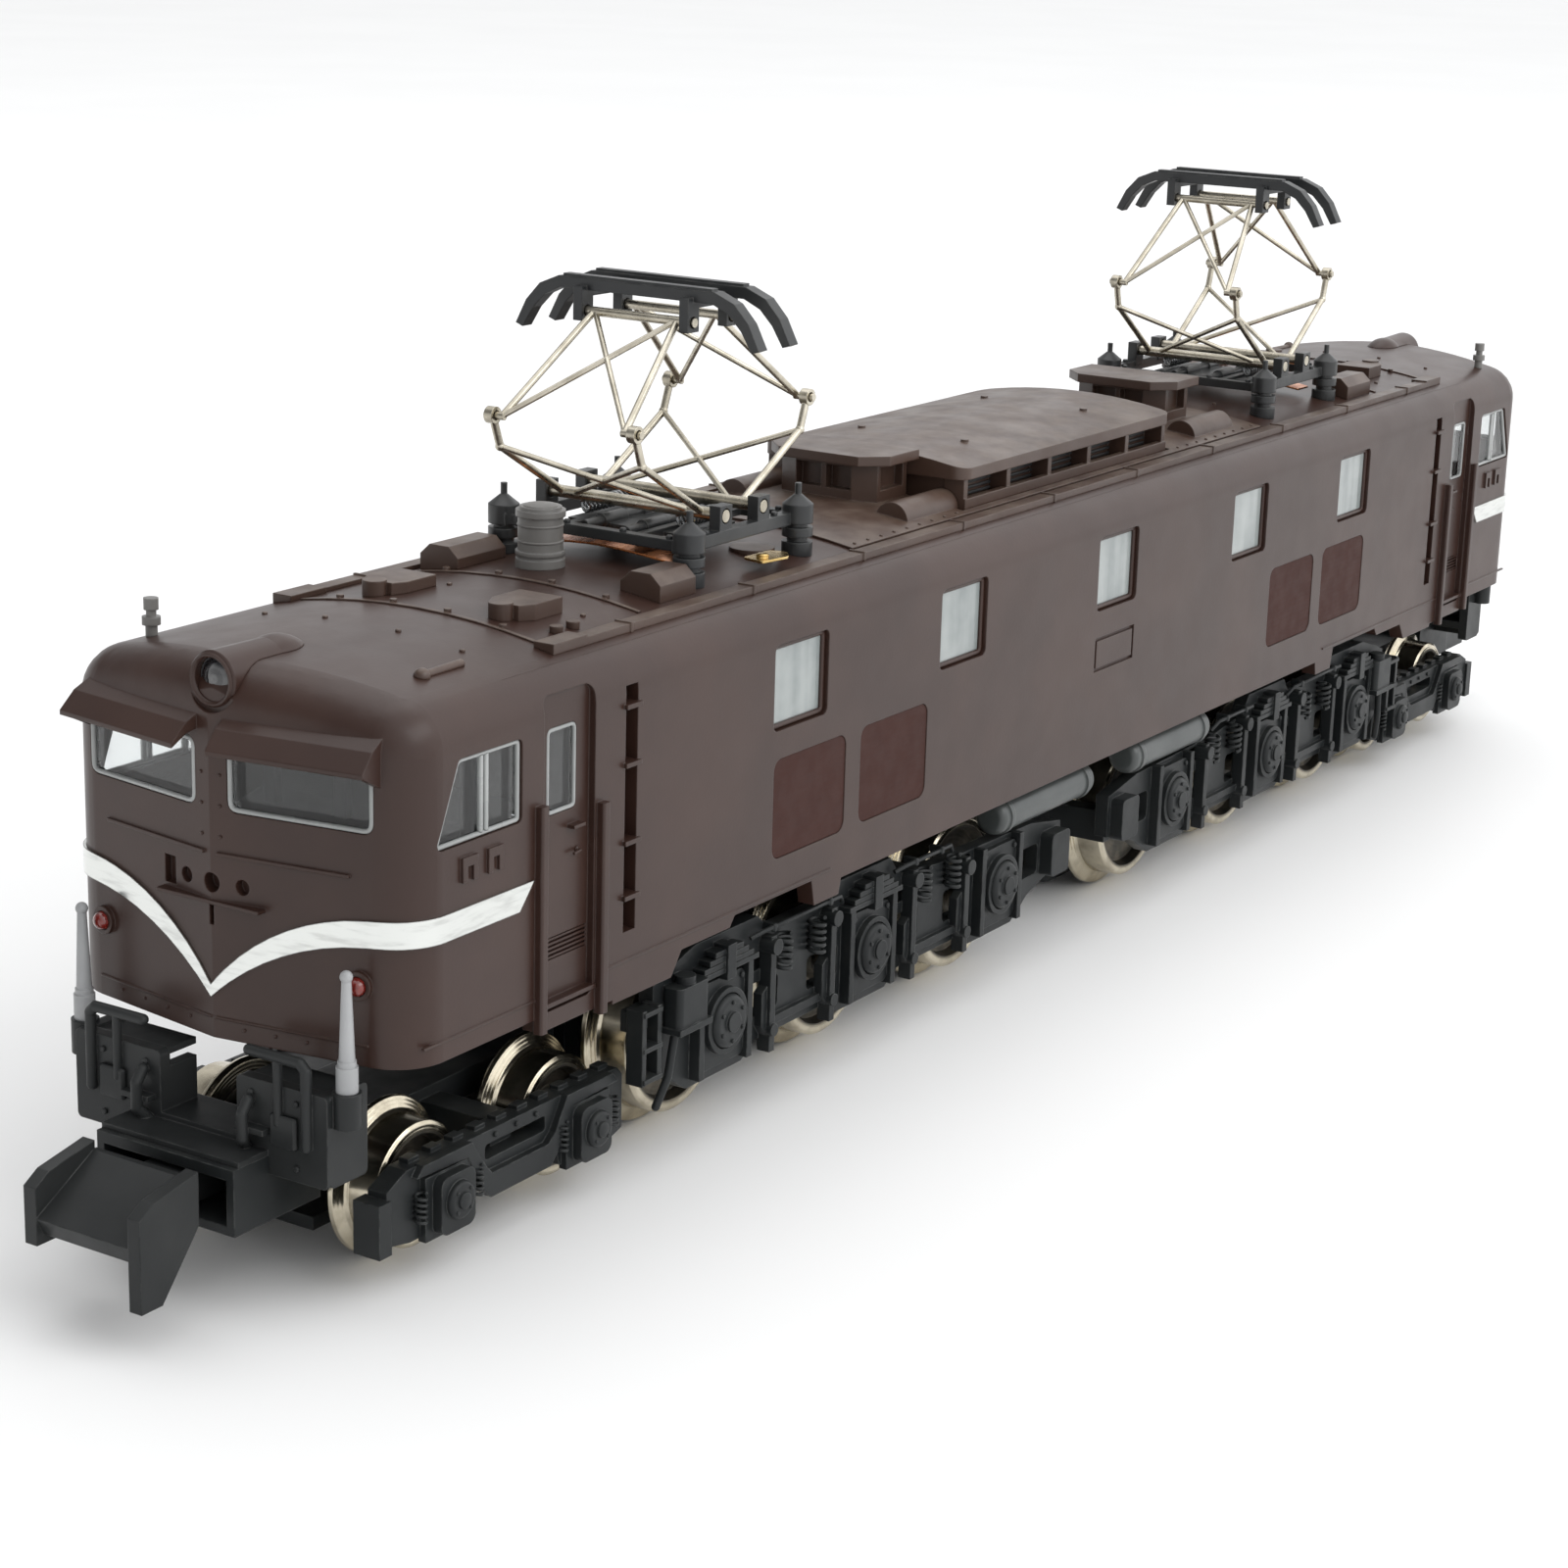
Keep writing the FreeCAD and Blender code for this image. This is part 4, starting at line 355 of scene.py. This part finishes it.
# ---------------------------------------------------------------- mesh building
class Mesh:
    """Collects simple forms, in millimetres, and turns them into one object."""

    def __init__(self):
        self.verts, self.faces = [], []

    def add(self, verts, faces):
        start = len(self.verts)
        self.verts += [Vector(v) for v in verts]
        self.faces += [tuple(i + start for i in f) for f in faces]
        return self

    def loft(self, rings, closed_ends=True, loop=False):
        """Skin between rings of equal length."""
        n = len(rings[0])
        faces = []
        count = len(rings)
        for k in range(count if loop else count - 1):
            a, b = k * n, (k + 1) % count * n
            faces += [(a + i, a + (i + 1) % n, b + (i + 1) % n, b + i) for i in range(n)]
        if closed_ends and not loop:
            faces += [tuple(reversed(range(n))), tuple((count - 1) * n + i for i in range(n))]
        return self.add([p for ring in rings for p in ring], faces)

    def block(self, x0, x1, y0, y1, z0, z1, bevel=0.06):
        """A box with chamfered edges all round."""
        b = min(bevel, (x1 - x0) / 3, (y1 - y0) / 3, (z1 - z0) / 3)

        def ring(z, inset):
            xa, xb, ya, yb = x0 + inset, x1 - inset, y0 + inset, y1 - inset
            return [(xa + b, ya, z), (xb - b, ya, z), (xb, ya + b, z), (xb, yb - b, z),
                    (xb - b, yb, z), (xa + b, yb, z), (xa, yb - b, z), (xa, ya + b, z)]
        return self.loft([ring(z0, b * 0.7), ring(z0 + b, 0), ring(z1 - b, 0), ring(z1, b * 0.7)])

    def tube(self, points, radius, sides=10, loop=False):
        """A round bar along a path; the radius is a number or one per point."""
        points = [Vector(p) for p in points]
        radii = radius if isinstance(radius, (list, tuple)) else [radius] * len(points)
        rings, side = [], None
        for k, p in enumerate(points):
            before = points[k - 1] if k or loop else p
            after = points[(k + 1) % len(points)] if k + 1 < len(points) or loop else p
            along = (after - before).normalized()
            if side is None:
                side = along.orthogonal().normalized()
            side = (side - along * side.dot(along)).normalized()
            other = along.cross(side)
            turn = [2 * math.pi * i / sides for i in range(sides)]
            rings.append([p + radii[k] * (math.cos(t) * side + math.sin(t) * other) for t in turn])
        return self.loft(rings, loop=loop)

    def spun(self, profile, centre, axis, sides=20):
        """A turned form: (distance along the axis, radius) points about an axis through centre."""
        centre, axis = Vector(centre), Vector(axis)
        return self.tube([centre + axis * d for d, _ in profile], [r for _, r in profile], sides)

    def bolt(self, centre, axis, radius=0.16, height=0.14):
        return self.spun([(-0.05, radius), (height * 0.7, radius), (height, radius * 0.7)], centre, axis, 8)

    def coil(self, centre, axis, radius, wire, length, turns, steps=14):
        """A helical spring along an axis."""
        axis = Vector(axis)
        u = axis.orthogonal().normalized()
        v = axis.cross(u)
        total = turns * steps
        points = []
        for k in range(total + 1):
            t = 2 * math.pi * k / steps
            along = axis * (length * (k / total - 0.5))
            points.append(Vector(centre) + along + radius * (math.cos(t) * u + math.sin(t) * v))
        return self.tube(points, wire, 6)

    def frame(self, outline, width, depth, place):
        """A picture-frame bead: an outline in a plane, a width inwards and a depth, set by place(u, v, w)."""
        inner = shrink(outline, width)
        lip = shrink(outline, width * 0.3)
        lip_in = shrink(outline, width * 0.75)
        rings = [[place(u, v, 0.0) for u, v in outline], [place(u, v, depth * 0.6) for u, v in outline],
                 [place(u, v, depth) for u, v in lip], [place(u, v, depth) for u, v in lip_in],
                 [place(u, v, depth * 0.6) for u, v in inner], [place(u, v, 0.0) for u, v in inner]]
        return self.loft(rings, loop=True)

    def copies(self, *signs):
        """Adds mirrored copies, one per (x sign, y sign)."""
        verts, faces = list(self.verts), list(self.faces)
        for sx, sy in signs:
            flip = sx * sy < 0
            moved = [(sx * v.x, sy * v.y, v.z) for v in verts]
            self.add(moved, [tuple(reversed(f)) if flip else f for f in faces])
        return self

    def at_end(self, end):
        """Turns forms made for end a into place at the given end, after copying them to the other side."""
        self.copies(OTHER_SIDE)
        sign = -1 if end == "b" else 1
        self.verts = [Vector((sign * v.x, sign * v.y, v.z)) for v in self.verts]
        return self

    def make(self, name, material, body, slot, smooth=35.0):
        mesh = bpy.data.meshes.new(name)
        mesh.from_pydata([v * MM for v in self.verts], [], self.faces)
        mesh.validate()
        mesh.shade_smooth()
        mesh.set_sharp_from_angle(angle=math.radians(smooth))
        piece = bpy.data.objects.new(name, mesh)
        bpy.context.scene.collection.objects.link(piece)
        mesh.materials.append(MATS[material])
        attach(piece, body)
        return piece


def shrink(outline, amount):
    """A convex outline moved inwards."""
    n = len(outline)
    ahead = outline[1:] + outline[:1]
    area = sum(a[0] * b[1] - b[0] * a[1] for a, b in zip(outline, ahead))
    turn = 1 if area > 0 else -1
    out = []
    for i in range(n):
        p0, p1, p2 = (Vector(outline[(i + k) % n]) for k in (-1, 0, 1))
        d1, d2 = (p1 - p0).normalized(), (p2 - p1).normalized()
        n1, n2 = Vector((-d1.y, d1.x)) * turn, Vector((-d2.y, d2.x)) * turn
        bisector = n1 + n2
        out.append(tuple(p1 + bisector * (amount / max(0.3, bisector.dot(n1)))))
    return out


def round_corners(corners, radius, steps=4):
    """A polygon with its corners rounded."""
    out = []
    n = len(corners)
    for i in range(n):
        p0, p1, p2 = (Vector(corners[(i + k) % n]) for k in (-1, 0, 1))
        a = p1 + (p0 - p1).normalized() * radius
        b = p1 + (p2 - p1).normalized() * radius
        for k in range(steps + 1):
            t = k / steps
            out.append(tuple((1 - t) ** 2 * a + 2 * t * (1 - t) * p1 + t * t * b))
    return out


def rectangle(u0, u1, v0, v1, radius):
    return round_corners([(u0, v0), (u1, v0), (u1, v1), (u0, v1)], radius)


def side_place(y):
    """Places (x, z, out) on the +Y side of the body."""
    return lambda u, v, w: (u, y + w, v)


def front_place(offset):
    """Places (along the panel, z, out) on the +Y front panel of end a."""
    angle = math.atan2(SWEEP, HALF_W)
    along = Vector((math.sin(angle), math.cos(angle), 0))
    out = Vector((-math.cos(angle), math.sin(angle), 0))
    origin = Vector((-RIDGE_X, 0, 0))
    return lambda u, v, w: tuple(origin + along * u + out * (offset + w) + Vector((0, 0, v)))


OTHER_SIDE, TURNED = (1, -1), (-1, -1)
ALL_CORNERS = (OTHER_SIDE, (-1, 1), TURNED)


# ---------------------------------------------------------------- windows
def side_window_shade_beads():
    """Brown beads inside the five window openings of each side, dark to paint the shade inside the window
    reveals.
    """
    frames = Mesh()
    for x in WINDOW_X:
        half = WINDOW_W / 2 - GAP
        outline = rectangle(x - half, x + half, WINDOW_Z[0] + GAP, WINDOW_Z[1] - GAP, 0.34)
        # dark brown beads paint the shade inside the window reveals
        frames.frame(outline, 0.26, 0.17, side_place(HALF_W - 0.36))
    frames.copies(OTHER_SIDE).make("side_window_shade_beads", "body", "body", "body_brown")


def cab_window_frames():
    """Bright beads round the windscreens, and white ones with a centre bar in the cab side windows."""
    screens = Mesh()
    y0, y1, z0, z1 = FRONT_WINDOW
    outline = rectangle(y0 + GAP, y1 - GAP, z0 + GAP, z1 - GAP, 0.48)
    screens.frame(outline, 0.2, 0.16, front_place(-0.13))
    screens.copies(*ALL_CORNERS).make("windscreen_frames", "frame_white", "body", "clear_glazing")
    sides = Mesh()
    (xa, za), (xb, zb), (xc, _), _ = CAB_WINDOW
    corners = [(xa + 0.03, za + GAP), (xc - GAP, za + GAP), (xc - GAP, zb - GAP), (xb + 0.03, zb - GAP)]
    outline = round_corners(corners, 0.25)
    sides.frame(outline, 0.2, 0.16, side_place(HALF_W - 0.26))
    for x in (-56.1, -55.75):
        sides.block(x - 0.12, x + 0.12, HALF_W - 0.3, HALF_W - 0.08, za + 0.15, zb - 0.15, 0.05)
    x0, x1, dz0, dz1 = DOOR_WINDOW
    outline = rectangle(x0 + GAP, x1 - GAP, dz0 + GAP, dz1 - GAP, 0.33)
    sides.frame(outline, 0.17, 0.14, side_place(HALF_W - 0.46))
    sides.copies(*ALL_CORNERS).make("cab_side_frames", "frame_white", "body", "clear_glazing")


def cab_interiors():
    """Seat backs and a rear wall, seen through the cab glass."""
    wall = Mesh()
    wall.block(-48.3, -47.9, -8.0, 8.0, 17.6, 24.2)
    for y in (-5.2, -1.2, 1.2, 5.2):
        wall.block(-52.4, -51.9, y - 0.35, y + 0.35, 17.6, 24.0)
    wall.copies(TURNED).make("cab_walls", "interior_grey", "body", "die_cast")


# ---------------------------------------------------------------- front and headlight
def headlight_bezels():
    """The rim of each headlight."""
    rims = Mesh()
    profile = [(0.0, 0.9), (-0.1, 0.98), (-0.12, 1.06), (-0.02, 1.14)]
    turn = [2 * math.pi * i / 32 for i in range(32)]
    x = HEAD_X - GAP
    rings = [[(x + d, r * math.cos(t), HEAD_Z + r * math.sin(t)) for t in turn] for d, r in profile]
    rims.loft(rings, closed_ends=False)
    rims.copies(TURNED).make("headlight_rims", "body", "body", "body_brown")


def front_rivets():
    """Small rivets beside the front seam and the ends of the shelf under the windscreens."""
    rivets = Mesh()
    place = front_place(0.0)
    for along, z in [(y, 11.15) for y in (1.5, 3.0, 4.5, 6.0)] + [(0.5, z) for z in (19.3, 20.6, 21.9)]:
        centre = Vector(place(along, z, 0.0))
        axis = Vector(place(along, z, 1.0)) - centre
        rivets.bolt(centre, axis, 0.08, 0.06)
    rivets.copies(*ALL_CORNERS).make("front_rivets", "body", "body", "body_brown")


def door_handles():
    """A lever handle and three hinges at each cab door."""
    handles = Mesh()
    y = HALF_W - 0.36
    handles.tube([(-49.2, y, 17.3), (-49.2, y + 0.22, 17.3), (-49.7, y + 0.24, 17.25)], 0.07, 8)
    handles.spun([(-0.05, 0.16), (0.07, 0.16), (0.1, 0.1)], (-49.2, y, 17.3), (0, 1, 0), 12)
    for z in (13.0, 17.5, 22.0):
        handles.tube([(-51.85, y + 0.03, z), (-51.85, y + 0.03, z + 0.5)], 0.07, 8)
    handles.copies(*ALL_CORNERS).make("door_handles", "body", "body", "body_brown")


# ---------------------------------------------------------------- roof
def roof_z(y):
    """Height of the roof's arch."""
    arch = (HALF_W ** 2 + ROOF_RISE ** 2) / (2 * ROOF_RISE)
    return ROOF_CROWN_Z - arch + math.sqrt(arch ** 2 - y ** 2)


def roof_bolts():
    """Rows of small bolts along the roof panels, and the bolts of the hatch."""
    bolts = Mesh()
    for x in (-52.5, -44.0, -26.6):
        for y in (2.0, 5.4):
            bolts.bolt((x, y, roof_z(y)), (0, 0, 1), 0.13, 0.1)
    for k in range(9):
        bolts.bolt((-22.8 + 1.25 * k, 6.3, roof_z(6.3) + 0.12), (0, 0, 1), 0.09, 0.07)
    bolts.copies(*ALL_CORNERS).make("roof_bolts", "roof", "body", "roof_brown")


def hatch_grilles():
    """Dark slatted grilles behind the louvre openings of the hatch."""
    grilles = Mesh()
    for k in range(4):
        grilles.block(-11.0, 11.0, 4.92, 5.02, 26.3 + 0.3 * k, 26.45 + 0.3 * k, 0.03)
    grilles.copies(OTHER_SIDE).make("hatch_grilles", "dark", "body", "roof_brown")


def pan_pickups(turn):
    """The copper pickup strip bowed under the pantograph, and the brass solder tab beside it."""
    end = "b" if turn else "a"
    sign = -1 if turn else 1
    strip = Mesh()
    steps = 14
    rings = []
    for k in range(steps + 1):
        t = k / steps
        y = -4.4 + 8.8 * t
        z = 26.62 + 0.45 * math.sin(math.pi * t)
        half = 0.75 + 0.35 * math.sin(math.pi * t)
        rings.append([(sign * (PAN_X - 3.4 + dx), sign * y, z + dz)
                      for dx, dz in ((-half, 0.0), (half, 0.0), (half, 0.1), (-half, 0.1))])
    strip.loft(rings).make("copper_strip_" + end, "copper", "body", "rotor_brass")
    tab = Mesh()
    outline = round_corners([(-1.35, -0.55), (0.5, -0.85), (1.3, -0.2), (1.1, 0.6), (-1.1, 0.7)], 0.2)
    x0, y0, z0 = PAN_X + 1.0, -6.0, 26.42
    tab.loft([[(sign * (x0 + u), sign * (y0 + v), z0 + dz) for u, v in outline] for dz in (0.0, 0.12)])
    rivet = (sign * (x0 - 0.5), sign * y0, z0 + 0.08)
    tab.spun([(0.0, 0.3), (0.18, 0.3), (0.22, 0.22)], rivet, (0, 0, 1), 16)
    tab.make("brass_tab_" + end, "brass", "body", "rotor_brass")


def pan_springs(turn):
    """The two main springs along the base, and the bolts of the base frame."""
    end = "b" if turn else "a"
    sign = -1 if turn else 1
    springs = Mesh()
    for y in (-2.75, 2.75):
        springs.coil((sign * PAN_X, y, PAN_BASE_Z + 0.42), (1, 0, 0), 0.3, 0.085, 3.3, 11)
    springs.make("pan_springs_" + end, "spring", "body", "nickel_silver")
    bolts = Mesh()
    for sx in (-1, 1):
        for y in (-4.2, -1.6, 1.6, 4.2):
            bolts.bolt((sign * PAN_X + sx * 4.6, y, PAN_BASE_Z + 0.22), (0, 0, 1), 0.17, 0.17)
        for y in (-5.05, 5.05):
            bolts.bolt((sign * PAN_X + sx * 2.9, y, PAN_BASE_Z + 0.3), (0, 0, 1), 0.17, 0.17)
    bolts.make("pan_base_bolts_" + end, "pan_black", "body", "pan_black")


def arrester_bands():
    """Ribs and the top stud of the lightning arrester."""
    bands = Mesh()
    for z in (27.6, 28.35):
        profile = [(z - 0.07, 1.04), (z - 0.03, 1.09), (z + 0.03, 1.09), (z + 0.07, 1.04)]
        bands.spun(profile, ARRESTER, (0, 0, 1), 40)
    bands.spun([(29.15, 0.85), (29.26, 0.78), (29.32, 0.45), (29.34, 0.1)], ARRESTER, (0, 0, 1), 32)
    bands.make("arrester_bands", "grey", "body", "grey_fittings")


# ---------------------------------------------------------------- running gear
def bogie_details(end):
    """Coil springs, nuts, pipes and cover bolts on the driving bogie's side frames."""
    y = BOGIE_Y
    springs, fittings = Mesh(), Mesh()
    for x in DRIVER_X[:2]:
        for dx in (5.1, 8.1):
            springs.coil((x + dx, y + 0.45, 7.9), (0, 0, 1), 0.38, 0.11, 1.7, 5)
    for x in DRIVER_X:
        for k in range(6):
            t = math.pi * (k + 0.5) / 3
            centre = (x + 0.95 * math.cos(t), y + 1.0, AXLE_COVER_Z + 0.95 * math.sin(t))
            fittings.bolt(centre, (0, 1, 0), 0.11, 0.1)
        for dx in (-1.55, 1.55):
            fittings.bolt((x + dx, y + 0.4, 7.7), (0, 1, 0), 0.15, 0.14)
    for x0, x1 in ((-34.4, -26.2), (-21.2, -15.4)):
        pipe = [(x0, y + 0.3, 9.2), (x0 + 0.6, y + 0.55, 9.4), (x1 - 0.6, y + 0.55, 9.4), (x1, y + 0.3, 8.9)]
        fittings.tube(pipe, 0.12, 8)
        for x in (x0 + 1.6, x1 - 1.6):
            fittings.block(x - 0.15, x + 0.15, y - 0.1, y + 0.72, 9.2, 9.6)
    for mesh, name in ((springs, "bogie_springs_"), (fittings, "bogie_fittings_")):
        mesh.at_end(end).make(name + end, "under", "bogie_" + end, "under_grey")


def truck_details(end):
    """Coil springs, journal lids and bolts on the leading truck, and bolts on its deck."""
    y = TRUCK_Y
    springs, fittings = Mesh(), Mesh()
    for x in LEADER_X:
        for dx in (-1.9, 1.9):
            springs.coil((x + dx, y + 0.28, 3.5), (0, 0, 1), 0.24, 0.075, 1.3, 5)
        for k in range(4):
            t = math.pi * (k + 0.5) / 2
            centre = (x + 0.62 * math.cos(t), y + 1.08, JOURNAL_Z + 0.62 * math.sin(t))
            fittings.bolt(centre, (0, 1, 0), 0.09, 0.08)
        fittings.spun([(0.0, 0.4), (0.12, 0.36), (0.16, 0.2)], (x, y + 1.08, JOURNAL_Z), (0, 1, 0), 16)
    for x in (-52.6, -51.1, -49.7):
        fittings.bolt((x, y, 5.0), (0, 1, 0), 0.13, 0.12)
    deck = Mesh()
    for along, z in ((2.9, 9.2), (5.3, 9.2), (5.3, 6.4), (2.9, 6.4)):
        deck.bolt((-63.1, along, z), (-1, 0, 0), 0.14, 0.12)
    deck.block(-63.35, -63.05, 4.0, 5.4, 7.2, 8.6, 0.1)
    for mesh, name, material in ((springs, "truck_springs_", "under"), (fittings, "truck_fittings_", "under"),
                                 (deck, "deck_fittings_", "deck")):
        mesh.at_end(end).make(name + end, material, "truck_" + end, "under_grey")


side_window_shade_beads()
cab_window_frames()
cab_interiors()
headlight_bezels()
front_rivets()
door_handles()
roof_bolts()
hatch_grilles()
arrester_bands()
for turn in (False, True):
    pan_pickups(turn)
    pan_springs(turn)
for end in ENDS:
    bogie_details(end)
    truck_details(end)


# ---------------------------------------------------------------- floor, light and camera
def make_floor():
    s = Shader("floor", roughness=0.6, ior=1.3)
    s.colour(s.mix(s.ramp(s.noise(60.0, 2.0), 0.3, 0.7), (0.86, 0.86, 0.855), (0.875, 0.875, 0.87)))
    mesh = bpy.data.meshes.new("floor")
    half = 40.0
    corners = [(-half, -half, 0), (half, -half, 0), (half, half, 0), (-half, half, 0)]
    mesh.from_pydata(corners, [], [(0, 1, 2, 3)])
    mesh.materials.append(s.mat)
    floor = bpy.data.objects.new("floor", mesh)
    floor.location.z = -0.00005
    bpy.context.scene.collection.objects.link(floor)


def make_world():
    """A bright room, dimmer in front of cab a than beside and above it, with a pale band at the horizon."""
    world = bpy.data.worlds.new("studio")
    world.use_nodes = True
    tree = world.node_tree
    background = tree.nodes["Background"]
    background.inputs["Color"].default_value = (0.985, 0.99, 1.0, 1.0)
    coords = tree.nodes.new("ShaderNodeTexCoord")
    dot = tree.nodes.new("ShaderNodeVectorMath")
    dot.operation = "DOT_PRODUCT"
    dot.inputs[1].default_value = (0.52, -0.68, 0.5)
    rng = tree.nodes.new("ShaderNodeMapRange")
    rng.interpolation_type = "SMOOTHSTEP"
    for socket, value in (("From Min", -0.55), ("From Max", 0.7), ("To Min", 0.17), ("To Max", 1.42)):
        rng.inputs[socket].default_value = value
    tree.links.new(coords.outputs["Generated"], dot.inputs[0])
    tree.links.new(dot.outputs["Value"], rng.inputs["Value"])
    split = tree.nodes.new("ShaderNodeSeparateXYZ")
    band = tree.nodes.new("ShaderNodeMapRange")
    band.interpolation_type = "SMOOTHSTEP"
    for socket, value in (("From Min", 0.2), ("From Max", 0.45), ("To Min", 0.85), ("To Max", 0.0)):
        band.inputs[socket].default_value = value
    brighter = tree.nodes.new("ShaderNodeMath")
    brighter.operation = "MAXIMUM"
    tree.links.new(coords.outputs["Generated"], split.inputs[0])
    tree.links.new(split.outputs[2], band.inputs["Value"])
    tree.links.new(rng.outputs["Result"], brighter.inputs[0])
    tree.links.new(band.outputs["Result"], brighter.inputs[1])
    tree.links.new(brighter.outputs[0], background.inputs["Strength"])
    bpy.context.scene.world = world


def area_light(name, place, aim, size, watts):
    light = bpy.data.lights.new(name, "AREA")
    light.shape = "RECTANGLE"
    light.size, light.size_y = size
    light.energy = watts
    lamp = bpy.data.objects.new(name, light)
    lamp.location = place
    lamp.rotation_euler = (Vector(aim) - Vector(place)).to_track_quat("-Z", "Y").to_euler()
    bpy.context.scene.collection.objects.link(lamp)


def make_camera():
    """The main view: from above and beyond end a, rolled slightly."""
    azimuth, elevation, roll = (math.radians(a) for a in (32.267258, -15.850100, 1.684956))
    level = math.cos(elevation)
    forward = Vector((level * math.cos(azimuth), level * math.sin(azimuth), math.sin(elevation)))
    right = forward.cross(Vector((0, 0, 1))).normalized()
    up = right.cross(forward)
    right, up = (right * math.cos(roll) + up * math.sin(roll), up * math.cos(roll) - right * math.sin(roll))
    data = bpy.data.cameras.new("camera")
    data.sensor_width = 36.0
    data.lens = 36.0 * 3338.77 / 1600
    data.clip_start, data.clip_end = 0.005, 100.0
    camera = bpy.data.objects.new("camera", data)
    camera.matrix_world = Matrix((
        (right.x, up.x, -forward.x, -0.15700), (right.y, up.y, -forward.y, -0.08737),
        (right.z, up.z, -forward.z, 0.05820), (0, 0, 0, 1)))
    bpy.context.scene.collection.objects.link(camera)
    bpy.context.scene.camera = camera


make_floor()
make_world()
area_light("key", (0.05, -0.6, 0.5), (0, 0, 0.01), (0.7, 0.4), 1.6)
area_light("top", (0.1, 0.15, 0.7), (0, 0, 0.02), (0.7, 0.5), 0.9)
make_camera()
bpy.context.scene.view_settings.view_transform = "Standard"
